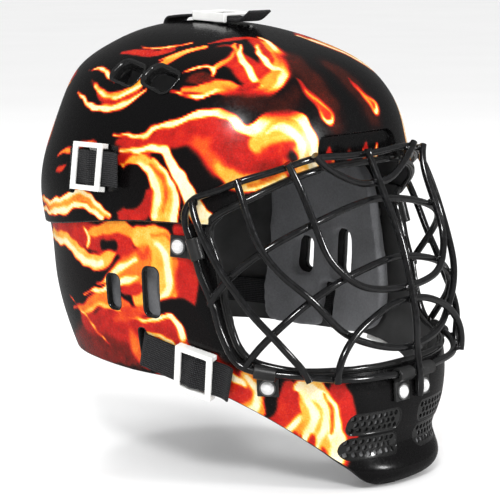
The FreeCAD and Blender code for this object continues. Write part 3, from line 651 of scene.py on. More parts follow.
# ---------------- flame print
# A generic flame design. Each lick is (heat, start, middle and end half width in mm, softness in mm,
# run of (degrees round from the face, height in mm)), painted in order; heat 0 is black, 1 is cream.
CROWN_LICKS = [
    # broad temple flame
    (0.44, 3, 9, 7, 4, [(101, 74), (90, 73), (82, 78), (73, 82), (64, 83), (56, 77), (50, 72), (44, 76)]),
    (0.60, 4, 9, 8, 7, [(68, 76), (62, 70), (57, 64), (52, 62), (46, 62), (40, 62)]),
    (0.40, 5, 8, 5, 6, [(60, 76), (53, 70), (48, 66), (42, 66)]),
    (0.02, 5, 11, 9, 5, [(83, 67), (77, 63), (72, 58), (68, 51), (64, 44)]),
    (0.80, 2, 5, 3, 3, [(60, 64), (57, 58), (53, 55), (48, 57)]),
    (0.80, 6, 9, 6, 3, [(47, 77), (43, 82), (37, 83), (32, 79), (29, 72), (29, 64), (31, 59)]),
    (0.98, 1, 3.2, 1.5, 1.5, [(44, 82), (40, 85), (36, 84), (32.5, 79), (31.5, 72), (32, 66)]),
    (0.46, 1.5, 5, 2, 4, [(48, 69), (42, 71.5), (37, 74), (35, 75)]),
    (0.95, 1, 2.6, 1.5, 1, [(54, 52), (49, 52.5), (43, 54.5), (38, 57)]),
    (0.70, 1, 1.4, 1, 1, [(50, 54), (45, 55.5), (40, 58)]),
    (0.98, 2, 3, 2, 1, [(27.5, 66), (27, 61), (28, 58)]),
    # its cream upper edge
    (0.97, 0.8, 3, 3.2, 0.7, [(104, 78.5), (96, 78), (89.5, 79.5), (86.5, 84.5), (80, 87), (74, 90), (69, 92.5),
                                (63, 93.5), (58, 92), (54, 87), (50.5, 83.5), (47.5, 85), (44, 90), (39, 93),
                                (33.5, 92.5), (29, 88), (26.7, 80), (26.2, 70)]),
    # streams running down to the seam
    (0.43, 4, 7, 6, 3, [(98, 64), (90, 68), (86, 58), (85, 46), (88, 36), (95, 31)]),
    (0.78, 2, 8, 9, 2, [(96, 60), (91, 64.5), (85, 61), (81, 52), (79, 42), (78.5, 30)]),
    (0.60, 0.6, 1.6, 1, 1, [(85, 64), (80.5, 56), (78.5, 46), (79, 36)]),
    (0.97, 0.6, 2.2, 2.4, 1, [(98, 61.5), (95, 58.5), (91.5, 62.5), (87, 62), (83.5, 54), (82, 44), (82.5, 33)]),
    (0.97, 0.6, 1.8, 2.4, 1, [(84, 67.5), (79.5, 60), (76, 51), (74.5, 41), (75, 31)]),
    (0.01, 6, 12, 7, 2, [(93, 56), (91.5, 49), (92, 42)]),
    (0.42, 1, 3, 3, 2, [(98, 33), (92, 34.5), (87.5, 39), (85.5, 47)]),
    (0.98, 1, 3.8, 6.5, 0.9, [(99, 69), (92, 70.5), (86, 73), (81, 72), (77, 65), (73, 55), (69.5, 45), (66, 37),
                              (62, 30)]),
    # licks under and over the rear slider
    (0.72, 1, 3.6, 2, 1.5, [(150, 33), (137, 31), (127, 32.5), (119, 39), (113, 40), (107, 35), (102, 29.5)]),
    (0.98, 0.6, 1.8, 1, 0.8, [(150, 34), (137, 32.5), (127, 35), (119, 41.5), (113, 42), (106.5, 36), (101, 30)]),
    (0.97, 1, 2.4, 1.6, 0.8, [(152, 26), (136, 26), (124, 29.5), (116, 34.5), (110, 33), (105, 29)]),
    (0.74, 0.5, 2.2, 0.6, 1, [(131, 61), (122, 67.5), (116, 71), (111, 73)]),
    (0.56, 0.5, 1.8, 0.6, 1, [(131, 50), (128, 53.5), (124, 58)]),
    # rear curls below the vents
    (0.46, 1, 4, 2, 2, [(120, 104), (112, 98), (104, 99), (98, 106)]),
    (0.97, 0.8, 2.4, 1.2, 0.8, [(131, 100), (121, 94.5), (112, 92), (105, 94), (99, 99.5), (94.5, 104.5)]),
    (0.76, 0.8, 3, 3, 1.2, [(127, 108.5), (119, 104), (111, 100), (104, 103.5), (99, 109), (96.5, 116),
                                (93, 122),
                                (88, 127)]),
    (0.98, 0.5, 1.3, 1.2, 0.8, [(127, 107), (118, 102.5), (110.5, 99), (103.5, 102), (98, 108)]),
    (0.97, 0.5, 1.8, 1, 0.8, [(133, 113.5), (125, 114.5), (118, 111.5), (113, 108.5)]),
    (0.47, 2, 4, 3, 2, [(126, 124), (116, 125), (106, 124.5), (99, 127)]),
    (0.97, 0.5, 1.6, 1.2, 0.8, [(122, 128), (110, 127.5), (100, 129), (92, 131)]),
    (0.82, 1, 3, 3, 1.5, [(99, 121), (93, 124.5), (86, 127.5), (80, 129)]),
    # oval flame ahead of the vents
    (0.46, 6, 11, 8, 4, [(66, 128), (56, 122), (49, 116), (42, 114), (36, 120), (34, 127), (40, 131)]),
    (0.74, 2, 5, 4, 2, [(77, 106), (69, 107), (61, 109), (53, 106), (46, 108), (39, 112), (34, 119), (31, 126),
                        (34, 131)]),
    (0.97, 0.6, 2.6, 2, 0.8, [(84, 106), (77, 103.5), (69, 103), (62, 106), (56, 103), (50, 102.5), (44, 104),
                                (37.5, 109), (32, 116), (28.5, 123), (29, 129), (38, 133.5)]),
    (0.80, 1, 2.6, 1.6, 1, [(62, 131), (61, 125), (64, 120), (67, 117)]),
    (0.98, 1, 2.6, 2, 0.8, [(57, 130), (55, 124), (51.5, 118.5), (48, 113), (47, 109.5)]),
    (0.98, 0.8, 2.2, 1.6, 0.8, [(45, 130.5), (43, 124), (39.5, 118.5), (35, 118)]),
    (0.46, 1, 2.5, 1, 1.5, [(55, 107.5), (50, 108.5), (46, 111)]),
    (0.02, 3, 8, 5, 4, [(77, 124), (70, 125), (66, 127)]),
    (0.26, 2, 5, 3, 3, [(76, 111), (70, 113), (67, 112)]),
    (0.97, 0.6, 1.8, 1, 0.8, [(81, 115), (75.5, 118), (70, 119), (66.5, 117.5), (66, 114)]),
    (0.50, 1, 3, 2, 2, [(80, 131), (66, 133), (50, 133.5), (38, 132)]),
    # trailing licks behind
    (0.45, 0.6, 5, 5, 3, [(176, 112), (168, 104), (159, 101), (150, 104), (146, 109)]),
    (0.80, 0.5, 2.4, 1.6, 1.2, [(174, 114), (166, 108), (157, 105.5), (150, 109)]),
    (0.97, 0.4, 1.5, 1, 0.8, [(176, 107), (168, 99.5), (158, 97), (149, 100), (145, 105)]),
    (0.44, 0.6, 4.5, 4, 3, [(160, 92), (153, 87), (147, 80), (145, 70), (148, 62)]),
    (0.78, 0.5, 2.2, 1.6, 1.2, [(157, 93), (151, 86), (146, 77), (146, 68)]),
    (0.97, 0.4, 1.4, 1, 0.8, [(162, 89), (155, 82), (150, 74), (150, 64)]),
]
FOREHEAD_LICKS = [
    (0.21, 9, 10, 9, 13, [(22, 122), (19, 110), (16, 99), (15, 88)]),
    (0.18, 7, 9, 8, 12, [(-4, 118), (-8, 108), (-11, 98), (-12, 88)]),
    (0.15, 6, 8, 6, 12, [(58, 101), (46, 99), (36, 99), (30, 104)]),
    (0.44, 0.8, 3.6, 5.6, 1.2, [(28, 112), (24, 104), (20, 96), (17, 90)]),
    (0.78, 0.3, 2.4, 4.6, 1, [(25, 106), (21.5, 99), (18.5, 93), (16.8, 89)]),
    (0.97, 0.3, 1.6, 3.8, 0.9, [(22, 97), (19, 91), (16.8, 87.5)]),
    (0.50, 0.3, 2, 3, 1.5, [(23.5, 101), (20, 95), (17.2, 90.5)]),
    (0.44, 0.8, 3.2, 4.6, 1.2, [(-9, 109), (-11, 102), (-14, 95), (-16, 91)]),
    (0.76, 0.3, 2, 3.6, 1, [(-10, 104), (-12.5, 98), (-15.3, 92)]),
    (0.97, 0.3, 1, 2.6, 0.9, [(-14, 95), (-15.8, 90.5)]),
    (0.50, 0.3, 1.3, 1.8, 1, [(-11.5, 100), (-14.8, 93)]),
    (0.42, 2, 4.5, 5, 2, [(15, 70), (14.5, 65), (14, 58)]),
    (0.66, 0.8, 2.2, 2.5, 1, [(12.5, 67), (12.2, 58)]),
    (0.30, 2, 4, 4, 3, [(2, 68), (2, 58)]),
    (0.44, 2, 4, 4.5, 1.5, [(-8.5, 71), (-9, 66), (-9.5, 58)]),
    (0.68, 0.8, 1.6, 2, 1, [(-7, 68), (-7.5, 58)]),
    (0.94, 1, 1.8, 2.2, 1, [(-15.5, 70), (-15, 65), (-14.5, 60)]),
]
JAW_LICKS = [
    # rear field
    (0.44, 6, 9, 6, 4, [(138, 16), (126, 18), (115, 16), (107, 14), (100, 13)]),
    (0.30, 8, 18, 14, 12, [(140, -60), (122, -56), (106, -52), (96, -46)]),
    (0.43, 8, 13, 10, 7, [(122, -38), (108, -34), (96, -36), (86, -40), (78, -38), (72, -44), (66, -52),
                          (58, -58)]),
    (0.02, 8, 14, 10, 5, [(136, -12), (127, -10), (119, -16), (116, -22)]),
    (0.80, 2, 5.2, 4, 2, [(150, 9), (136, 10), (126, 9), (119, 3), (113, 0), (107, 3), (103, 9)]),
    (0.98, 0.6, 2.2, 2, 1, [(150, 8), (136, 8.5), (125, 7), (119, 1.5), (113, -1), (108, 1.5)]),
    (0.97, 0.6, 1.8, 1, 0.8, [(117, 20), (114.5, 14), (115.5, 8)]),
    # big yellow flame round the front ear slot
    (0.74, 2, 4.5, 4, 2, [(114, 17), (108, 22), (101, 24), (95, 22), (90, 18)]),
    (0.46, 3, 7, 5, 3, [(102, 15), (97, 12), (95, 6)]),
    (0.02, 3, 5, 3, 3, [(107, 13), (102, 12)]),
    (0.80, 7, 11, 9, 2.5, [(90, 20), (84, 20), (80, 14), (79, 4), (79.5, -8), (83, -17), (90, -15)]),
    (0.66, 4, 9, 6, 4, [(106, -10), (98, -4), (91, 2), (88, 10)]),
    (0.56, 0.8, 2.2, 1, 1.5, [(92, 12), (88, 9), (87, 16)]),
    (0.98, 1, 3, 2, 1, [(84, 18), (80, 12), (78, 2), (77.8, -8), (81, -15), (84.5, -16)]),
    (0.66, 1, 1.6, 1.2, 0.8, [(85, 22), (79, 22), (75.8, 14), (75, 2), (75.5, -8), (79, -18)]),
    (0.97, 0.6, 2.2, 1.2, 0.8, [(112, -13), (106, -7), (100, -1.5), (95, 3), (91.5, 6)]),
    (0.97, 0.5, 2.4, 1.2, 0.8, [(120, -21), (110, -16), (102, -11), (96, -7), (91.5, -4)]),
    (0.45, 1, 3.5, 2.5, 1.5, [(100, -15), (95, -13.5), (91, -10)]),
    (0.64, 1, 4, 3, 2, [(130, -33), (120, -28.5), (111, -22), (103, -20), (97, -24)]),
    (0.84, 0.5, 1.6, 1, 1, [(125, -34), (117, -30), (108, -25), (101, -26)]),
    (0.55, 2, 4, 3, 3, [(104, -32), (96, -28), (90, -24)]),
    # red panel and dark hollow ahead of it
    (0.45, 4, 7, 7, 2.5, [(74, 26), (72, 16), (70, 4), (71, -6), (71, -14)]),
    (0.02, 5, 9, 6, 2.5, [(72, -19), (69.5, -26), (68, -34), (66, -41)]),
    (0.02, 2, 5, 3, 3, [(84, -22), (78, -20), (73, -18)]),
    (0.96, 0.5, 1.8, 2.6, 0.9, [(97, -30.5), (90, -30), (83, -27), (78, -25.5), (75, -28.5), (73.5, -37)]),
    (0.95, 0.5, 1.5, 1, 0.9, [(92, -38), (86, -37.5), (81, -39.5), (77, -43)]),
    (0.93, 0.5, 1.6, 1, 0.9, [(74, -40), (70, -45), (65, -47), (60.5, -45)]),
    (0.90, 0.4, 0.9, 0.6, 0.8, [(131, -26), (121, -36), (116, -44), (110, -51)]),
    (0.62, 2, 5, 4, 4, [(97, -40), (95, -49), (92, -58)]),
    (0.08, 3, 5, 3, 4, [(114, -67), (104, -66), (98, -64)]),
    (0.86, 0.6, 2.2, 1.6, 1, [(92, -65.5), (86, -65), (81, -67), (75, -71)]),
    # hooks along the lower edge
    (0.46, 5, 8, 6, 2, [(66, -62), (58, -64), (53, -66), (50, -70)]),
    (0.72, 3, 6, 5, 2, [(72, -70), (62, -75), (54, -79), (49, -77), (46.5, -70), (48, -61), (51, -56)]),
    (0.98, 0.8, 2.3, 1.8, 0.9, [(64, -73), (56, -77.5), (50.5, -78), (47.8, -72), (48.5, -63), (51.5, -57)]),
    (0.97, 0.8, 2.4, 1.2, 0.9, [(60, -53.5), (56.5, -56), (52, -62)]),
    (0.02, 3, 4.6, 3.4, 2, [(44, -60), (43.2, -72), (43.8, -84)]),
    (0.45, 4, 7, 6, 2, [(39.5, -62), (39, -74), (42, -86), (47, -89)]),
    (0.72, 2, 5, 4, 1.5, [(56, -84), (48, -91), (42, -95), (37, -89), (34.5, -80)]),
    (0.97, 0.6, 2.2, 1.6, 0.9, [(52, -88), (46, -92.5), (41.5, -93.5), (38, -87), (36, -79)]),
    # tall cream fan beside the chin
    (0.44, 6, 8, 7, 2.5, [(25.5, -64), (24, -78), (22.5, -92), (23.5, -106)]),
    (0.80, 8, 11, 9, 1.5, [(33, -63), (31, -76), (29.5, -90), (29.5, -104)]),
    (0.98, 3.5, 4.5, 4.5, 1, [(36.5, -61), (32, -65.5), (28.5, -73), (26.5, -84), (24.5, -95), (24, -106)]),
    (0.98, 2, 2.6, 2, 0.9, [(35, -66), (32.5, -76), (32.8, -88), (35.5, -98), (38, -102)]),
    (0.97, 1, 2.2, 1.8, 0.9, [(30, -74), (29, -86), (30.5, -98), (33, -106)]),
    (0.45, 1, 2.8, 1.5, 1, [(32, -90), (31.5, -97), (33.5, -103)]),
    (0.45, 1, 3.2, 1.5, 1, [(36.5, -89), (37, -96), (39, -99)]),
    (0.46, 1, 2.4, 2.4, 1, [(28.5, -99), (27.8, -104), (28.5, -109)]),
    (0.56, 0.6, 1.2, 1, 0.8, [(29.5, -66), (27.5, -78), (26.6, -90)]),
]
LEAST_SOFT = 1.4 * GRID


def on_left(azimuth):
    """The left side carries the same flames, drawn back a little from the forehead."""
    return -(azimuth + 20 * max(0.0, 1 - azimuth / 90))


def waved(points, reach, size):
    """Points moved by slow smooth waves, so that painted edges wander a little."""
    x, y, z = (points / size).T
    moved = np.stack([np.sin(y * 1.7 + z * 2.3 + 1.0) + 0.6 * np.sin(z * 4.1 - x * 3.1),
                      np.sin(z * 1.9 - x * 1.3 + 2.2) + 0.6 * np.sin(x * 3.7 + y * 4.3),
                      np.sin(x * 2.1 + y * 1.6 + 0.4) + 0.6 * np.sin(y * 4.9 + z * 3.3)], 1)
    return points + reach * moved


def paint_lick(points, heat, lick, offset, mirrored=False):
    level, start, middle, end, soft, run = lick
    soft = max(soft, LEAST_SOFT)
    run = np.array([(on_left(a) if mirrored else a, z) for a, z in run], float)
    if len(run) > 2:
        run = smooth_path(run, 2.0)
    line = round_point(run[:, 0], run[:, 1], offset)
    t = np.linspace(0, 1, len(line))
    half = np.maximum(start * (1 - t) * (1 - 2 * t) + 4 * middle * t * (1 - t) + end * t * (2 * t - 1), 0.2)
    reach = half.max() + soft + 2
    near = np.flatnonzero(np.all((points > line.min(0) - reach) & (points < line.max(0) + reach), axis=1))
    best = np.full(len(near), FAR)
    spot = points[near]
    for a, b, ha, hb in zip(line, line[1:], half, half[1:]):
        along = b - a
        t = np.clip((spot - a) @ along / (along @ along + 1e-9), 0, 1)
        best = np.minimum(best, np.linalg.norm(spot - a - t[:, None] * along, axis=1) - ha - (hb - ha) * t)
    heat[near] += (level - heat[near]) * eased(np.clip(0.5 - best / soft, 0, 1))


def flame_heat(points, offset, licks, single):
    """Heat of the print at each point: licks on both sides, then the ones painted once."""
    moved = waved(points, 0.7, 9.0)
    heat = np.zeros(len(points))
    for lick in licks:
        paint_lick(moved, heat, lick, offset)
        paint_lick(moved, heat, lick, offset, True)
    for lick in single:
        paint_lick(moved, heat, lick, offset)
    return heat


# ---------------- shells
SHELLS = {"crown": (CROWN_LIFT, 8, 200, crown_fields), "jaw": (-JAW_SINK, -130, 38, jaw_fields)}
PRINTS = {"crown": (CROWN_LICKS, FOREHEAD_LICKS), "jaw": (JAW_LICKS, ())}
RIM_ROUND, INNER_MARGIN, FIELD_CAP, INNER_STEP = 0.9, 0.8, 30, 3.0
POCKET_RINGS, POCKET_EDGE, POCKET_BLEND = (0.7, 0.3, 0.0, -0.35, -0.7, -1.05, -1.4), 0.55, 1.75
# Edge profiles: (distance toward the opening, depth into the wall) from the skin's open edge.
PLAIN_EDGE = [(0.32, 0.06), (0.62, 0.24), (0.84, 0.52), (0.9, 0.9), (0.9, 2.1), (0.6, 2.5), (-0.2, 2.6)]
VENT_EDGE = [(-1.4, -0.5), (-0.6, -0.62), (0.2, -0.4), (0.8, 0.2), (1.1, 1.0), (1.7, 4.5), (1.6, 6.4), (1.0, 6.9),
             (-0.4, 6.9), (-1.2, 6.2), (-1.3, 2.6)]
SLOT_EDGE = [(0.2, 0.02), (0.5, 0.08), (0.85, 0.45), (0.95, 1.2), (1.05, 3.6), (0.7, 4.0), (-0.3, 4.0),
             (-0.8, 2.6)]
LIP_EDGE = [(-3.4, 0.0), (-2.9, -0.35), (-2.2, -0.95), (-1.3, -1.35), (-0.3, -1.4), (0.6, -0.95), (1.05, -0.2),
            (1.15, 0.8), (1.05, 2.4), (0.5, 3.1), (-0.6, 3.2), (-1.2, 2.6)]
# Every profile gets one number of points, so that neighbouring edges can blend.
EDGES = {kind: respaced(edge, 12) for kind, edge in (
    ("plain", PLAIN_EDGE), ("vent", VENT_EDGE), ("slot", SLOT_EDGE), ("grille", SLOT_EDGE), ("face", LIP_EDGE))}


def sink(points, share, floor):
    """Moves points back toward the brow pocket's floor."""
    points[:, 1] += (np.maximum(points[:, 1], floor) - points[:, 1]) * share


def nearest_field(fields_of, points):
    return np.clip(np.min(list(fields_of(points).values()), axis=0), -FIELD_CAP, FIELD_CAP)


def outer_skin(shell, offset, low, high, fields_of):
    """Outer skin with its printed heat, and rounded black edges round every opening."""
    points, tris = form_grid(offset, low, high, GRID)
    unsunk = points[:, 1].copy()
    if shell == "crown":
        values = np.column_stack([points, np.clip(pocket_field(points), -FIELD_CAP, FIELD_CAP)])
        for level in POCKET_RINGS:
            values, tris = cut_along(values, tris, 3, level)
        points, pocket = values[:, :3].copy(), values[:, 3]
        unsunk = points[:, 1].copy()
        sink(points, eased(np.clip((POCKET_EDGE - pocket) / POCKET_BLEND, 0, 1)), POCKET_FLOOR)
    values = np.column_stack([points, nearest_field(fields_of, points), unsunk])
    values, tris = trimmed(values, tris, 3, RIM_ROUND)
    points = values[:, :3]
    normals = vertex_normals(points, tris)
    heat = flame_heat(values[:, [0, 4, 2]], offset, *PRINTS[shell])
    faces, all_points, part = list(tris), [points], [0] * len(tris)
    count = len(points)
    for loop in edge_loops(tris):
        base, out = evened(points[loop], 2), evened(normals[loop], 2)
        out /= np.linalg.norm(out, axis=1, keepdims=True)
        ahead = evened(np.roll(base, -1, 0) - np.roll(base, 1, 0), 3)
        toward = np.cross(ahead, out)
        toward /= np.linalg.norm(toward, axis=1, keepdims=True) + 1e-9
        fields = fields_of(base)
        kinds = np.argmin(list(fields.values()), axis=0)
        shapes = evened(np.array([EDGES.get(kind, EDGES["plain"]) for kind in fields])[kinds], 8)
        previous = loop
        for ring in range(shapes.shape[1]):
            all_points.append(base + toward * shapes[:, ring, :1] - out * shapes[:, ring, 1:])
            numbers = count + np.arange(len(loop))
            count += len(loop)
            after, before_next = np.roll(numbers, -1), np.roll(previous, -1)
            faces += list(np.stack([before_next, previous, numbers, after], 1))
            part += [1] * len(loop)
            previous = numbers
    piece = new_piece(shell + "_outer", np.concatenate(all_points), faces, [PRINT, EDGE_BLACK])
    piece.data.polygons.foreach_set("material_index", np.array(part, np.int32))
    layer = piece.data.attributes.new("print_heat", "FLOAT", "POINT")
    layer.data.foreach_set("value", np.pad(heat, (0, count - len(heat))).astype(np.float32))
    piece.data.update()
    return piece


def inner_skin(shell, offset, low, high, fields_of):
    """Inside face of a shell's wall."""
    points, tris = form_grid(offset - WALL, low, high, INNER_STEP)
    if shell == "crown":
        sink(points, np.clip(0.5 - pocket_field(points, WALL) / 2.5, 0, 1), POCKET_FLOOR + WALL)
    values = np.column_stack([points, nearest_field(fields_of, points)])
    values, tris = trimmed(values, tris, 3, INNER_MARGIN)
    return new_piece(shell + "_inner", values[:, :3], tris[:, ::-1], [INNER_BLACK])


for make_skin in (outer_skin, inner_skin):
    for shell, settings in SHELLS.items():
        declare(make_skin(shell, *settings), "shell", shell + "_shell")


# ---------------- carried-over and remoulded parts
def dress(node, look):
    mesh = frame["nodes"][node].data
    mesh.materials.clear()
    mesh.materials.append(look)
    mesh.polygons.foreach_set("use_smooth", [True] * len(mesh.polygons))


def softened(piece, voxel, passes):
    """Remeshes and smooths a piece, which rounds its edges."""
    remesh = piece.modifiers.new("remesh", "REMESH")
    remesh.mode, remesh.voxel_size = "VOXEL", voxel * MM
    smooth = piece.modifiers.new("smooth", "SMOOTH")
    smooth.factor, smooth.iterations = 0.5, passes
    bpy.context.view_layer.update()
    baked = bpy.data.meshes.new_from_object(piece.evaluated_get(bpy.context.evaluated_depsgraph_get()))
    piece.modifiers.clear()
    piece.data = baked
    baked.polygons.foreach_set("use_smooth", [True] * len(baked.polygons))


def edit_mesh(mesh, operation):
    opened = bmesh.new()
    opened.from_mesh(mesh)
    operation(opened)
    opened.to_mesh(mesh)
    opened.free()


def remould(node, name, look, voxel, passes, body):
    """A copy of a CAD part with softened moulded edges."""
    piece = cad_copy(node, name, look)
    edit_mesh(piece.data, lambda m: bmesh.ops.remove_doubles(m, verts=m.verts, dist=1e-6))
    softened(piece, voxel, passes)
    declare(piece, body, node)


CAGE = sorted(n for n in frame["nodes"] if n.startswith("cage_") and "_wire" in n)
TOUCH_GAP, BEAD_SPACING, BEAD_RADIUS = 0.9, 6, 2.0


def weld_beads():
    """Small weld fillets where two cage wires touch, found from the wires themselves."""
    trees, clouds = {}, {}
    for wire in CAGE:
        cloud = read_points(frame["nodes"][wire].data)[::3]
        tree = KDTree(len(cloud))
        for k, point in enumerate(cloud):
            tree.insert(point, k)
        tree.balance()
        trees[wire], clouds[wire] = tree, cloud
    spots = []
    for a, b in frame["record"]["behaviour"]["press_fits"]:
        if a not in trees or b not in trees:
            continue
        low, high = clouds[a].min(0) - 1, clouds[a].max(0) + 1
        cloud = clouds[b][np.all((clouds[b] > low) & (clouds[b] < high), axis=1)]
        for point in cloud[::2]:
            found, _, gap = trees[a].find(point)
            if gap < TOUCH_GAP:
                spots.append(((np.array(found) + point) / 2, gap))
    kept = []
    for spot, _ in sorted(spots, key=lambda s: s[1]):
        if all(np.linalg.norm(spot - other) > BEAD_SPACING for other in kept):
            kept.append(spot)
    ball = bmesh.new()
    for k, spot in enumerate(kept):
        for vertex in bmesh.ops.create_icosphere(ball, subdivisions=3, radius=BEAD_RADIUS * MM)["verts"]:
            wobble = 1 + 0.08 * math.sin(9 * k + vertex.co.x * 3100) + 0.07 * math.sin(vertex.co.z * 4100 + k)
            vertex.co = vertex.co * wobble + Vector(spot * MM)
    mesh = bpy.data.meshes.new("weld_beads")
    ball.to_mesh(mesh)
    ball.free()
    piece = placed("weld_beads", mesh, [WIRE])
    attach(piece, "shell")


for names, look in ((CAGE, WIRE), (["cage_screws"], SCREW), (["cage_washers", "cage_nuts"], WASHER),
                    (["strap_rivets"], RIVET)):
    for node in names:
        dress(node, look)
weld_beads()
for kind in ("temple", "jaw", "chin"):
    for side, _ in SIDES:
        remould("%s_clip_%s" % (kind, side), "%s_strap_clip_%s" % (kind, side), CLIP_BLACK, 0.34, 5, "shell")
for slider in ["top_slider"] + ["%s_slider_%s" % (kind, side) for kind in ("upper", "lower") for side, _ in SIDES]:
    remould(slider, slider + "_moulded", SLIDER_WHITE, 0.36, 5, slider)
remould("back_plate", "back_plate_moulded", PLATE_BLACK, 0.8, 3, "back_plate")

# ---------------- webbing
# Strap: half width, thickness, round of its edges and cells across. Then how far out it runs outside the
# shell, inside it and inside the back plate, and distances from the middle line where the tabs run.
WEB_HALF, WEB_THICK, WEB_BULGE, WEB_CELLS = 10.0, 1.5, 0.35, 14
STRAP_OUT, RUN_IN, TAB_IN = 3.15, -5.65, -5.05
REAR_EDGE, TAB_START, TAB_END = 60.0, 50.5, 26.5
# Places along the tail, then the rise and spread of the strap over the slider's bar and at its tip.
SLIDER_SET, FREE_TIP, TOP_SLIDER_Y, SLOT_LEAD = 20.5, 5.0, 22.0, 3.2
BAR_RISE, BAR_SPREAD, TIP_RISE, TIP_RUN, TIP_SPREAD = 1.5, 3.2, 3.0, 17.5, 8
TAB_HOLD, TOP_TAB = 58, (79.2, 55.5)
# Per kind: the shell's lift, (y, z) of the tail's start and of the slot, and the height at the rear edge.
STRAPS = {"upper": (CROWN_LIFT, (16.5, 58.5), (57.5, 58.5), 52.0),
          "lower": (-JAW_SINK, (-58, -60), (2.5, -47), -44.0)}


def webbing(name, path, side, node):
    """Woven strap lofted along (point, across, out) stations, with a rounded flat section."""
    steps = np.linspace(-WEB_HALF, WEB_HALF, WEB_CELLS + 1)
    section = [(v, WEB_THICK / 2) for v in steps] + [(WEB_HALF + WEB_BULGE, 0.0)]
    section += [(v, -WEB_THICK / 2) for v in steps[::-1]] + [(-WEB_HALF - WEB_BULGE, 0.0)]
    path = np.array(path) * (side, 1, 1)
    run = run_along(path[:, 0])
    points = np.array([[point + across * v + out * t for v, t in section] for point, across, out in path])
    flat = [(along, v + 40 * (t < 0)) for along in run for v, t in section]
    count = len(section)
    faces = [(a + j, a + (j + 1) % count, a + (j + 1) % count + count, a + j + count)
             for a in range(0, (len(path) - 1) * count, count) for j in range(count)]
    faces += [tuple(range(count)), tuple(reversed(range((len(path) - 1) * count, len(path) * count)))]
    piece = new_piece(name, points.reshape(-1, 3), faces, [WEBBING])
    layer = piece.data.uv_layers.new(name="strap")
    for loop in piece.data.loops:
        layer.data[loop.index].uv = flat[loop.vertex_index]
    edit_mesh(piece.data, lambda m: bmesh.ops.recalc_face_normals(m, faces=m.faces))
    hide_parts(node)
    return piece


def stations(points, across_of):
    """Stations from a smoothed run of points, each with its own across direction."""
    points = np.array(points)
    made = []
    for k, point in enumerate(points):
        ahead = points[min(k + 1, len(points) - 1)] - points[max(k - 1, 0)]
        ahead /= np.linalg.norm(ahead)
        across = np.array(across_of(point), float)
        across -= ahead * (across @ ahead)
        across /= np.linalg.norm(across)
        made.append((point, across, np.cross(across, ahead)))
    return made


def slack(run, middle):
    """How far the webbing stands off: crowned over the slider's core bar, lifting toward its free tip."""
    over_bar = BAR_RISE * math.exp(-((run - middle) / BAR_SPREAD) ** 2)
    return over_bar + TIP_RISE * max(0.0, (middle - TIP_RUN - run) / TIP_SPREAD) ** 2


def side_strap(lift, tail, slot, end_azimuth, end_height):
    """Tail outside, through the slot, then round inside to just ahead of the back plate."""
    y, z = slot
    slope = (z - tail[1]) / (y - tail[0])
    outside = [side_point(v, z + slope * (v - y), lift + STRAP_OUT + slack(v, tail[0] + SLIDER_SET))
               for v in np.linspace(tail[0] - FREE_TIP, y - SLOT_LEAD, 26)]
    through = [side_point(y - 1.0, z, lift + 1.4), side_point(y, z, -2.0), side_point(y + 1.4, z, RUN_IN + 1.0)]
    start = math.degrees(math.atan2(-side_point(y + 6, z, RUN_IN)[0], -(y + 6)))
    inside = [round_point(a, z + (end_height - z) * (a - start) / (end_azimuth - start), RUN_IN)
              for a in np.linspace(start, end_azimuth, 16)]
    line = smooth_path(outside + through + inside, 1.6)
    up = np.array([0.0, -slope, 1.0]) / math.hypot(1, slope)
    return stations(line, lambda p: up if p[1] < y + 20 else (0, 0, 1))


def turns_at(height, offset, xs, first=120, last=180, count=400):
    """Degrees round at which the form at an offset is at each distance from the middle line."""
    turns = np.linspace(first, last, count)
    return np.interp(-np.array(xs), round_point(turns, height, offset)[:, 0], turns)


def ridge_point(y, rows):
    """Point on the middle line over the top of the head."""
    rows = [row for row in rows if row[0] > 70]
    ys = [row[2] for row in rows] + [row[3] for row in reversed(rows)]
    zs = [row[0] for row in rows] + [row[0] for row in reversed(rows)]
    return np.array([0.0, y, smooth_curve(ys, zs, y)])


def rear_points(rows, lowest, heights):
    """Points on the middle line down the back of the head."""
    rows = [row for row in rows if row[0] > lowest]
    return [np.array([0.0, smooth_curve([r[0] for r in rows], [r[3] for r in rows], z), z]) for z in heights]


for kind, (lift, tail, slot, end_height) in STRAPS.items():
    for side, sign in SIDES:
        end_azimuth = float(turns_at(end_height, RUN_IN, REAR_EDGE, 120, 175, 200))
        path = side_strap(lift, tail, slot, end_azimuth, end_height)
        piece = webbing("%s_webbing_%s" % (kind, side), path, sign, "%s_strap_%s" % (kind, side))
        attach(piece, "shell")

ridge, under = offset_levels(CROWN_LIFT + STRAP_OUT), offset_levels(RUN_IN)
top_run = [ridge_point(y, ridge) + (0, 0, lift) for y, lift in ((-8, 8.4), (-5, 5.4), (-1, 2.0), (4, 0.1))]
top_run += [ridge_point(y, ridge) + (0, 0, slack(y, TOP_SLIDER_Y)) for y in np.linspace(10, 59, 24)]
top_run += [np.array([0.0, 62.6, 137.0]), np.array([0.0, 63.6, 130.5])]
top_run += [ridge_point(y, under) for y in np.linspace(69, 100, 5)]
top_run += rear_points(under, 60, (110, 100, 90, 79.5))
path = stations(smooth_path(top_run, 1.6), lambda p: (1, 0, 0))
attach(webbing("top_webbing", path, 1, "top_strap"), "shell")


def strap_tab(name, line, across, sign):
    """Elastic end of a strap: it leaves the shell's inside and is riveted inside the back plate."""
    path = stations(smooth_path(line, 1.2), lambda p: across)
    piece = webbing(name, path, sign, "strap_tabs")
    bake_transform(piece)


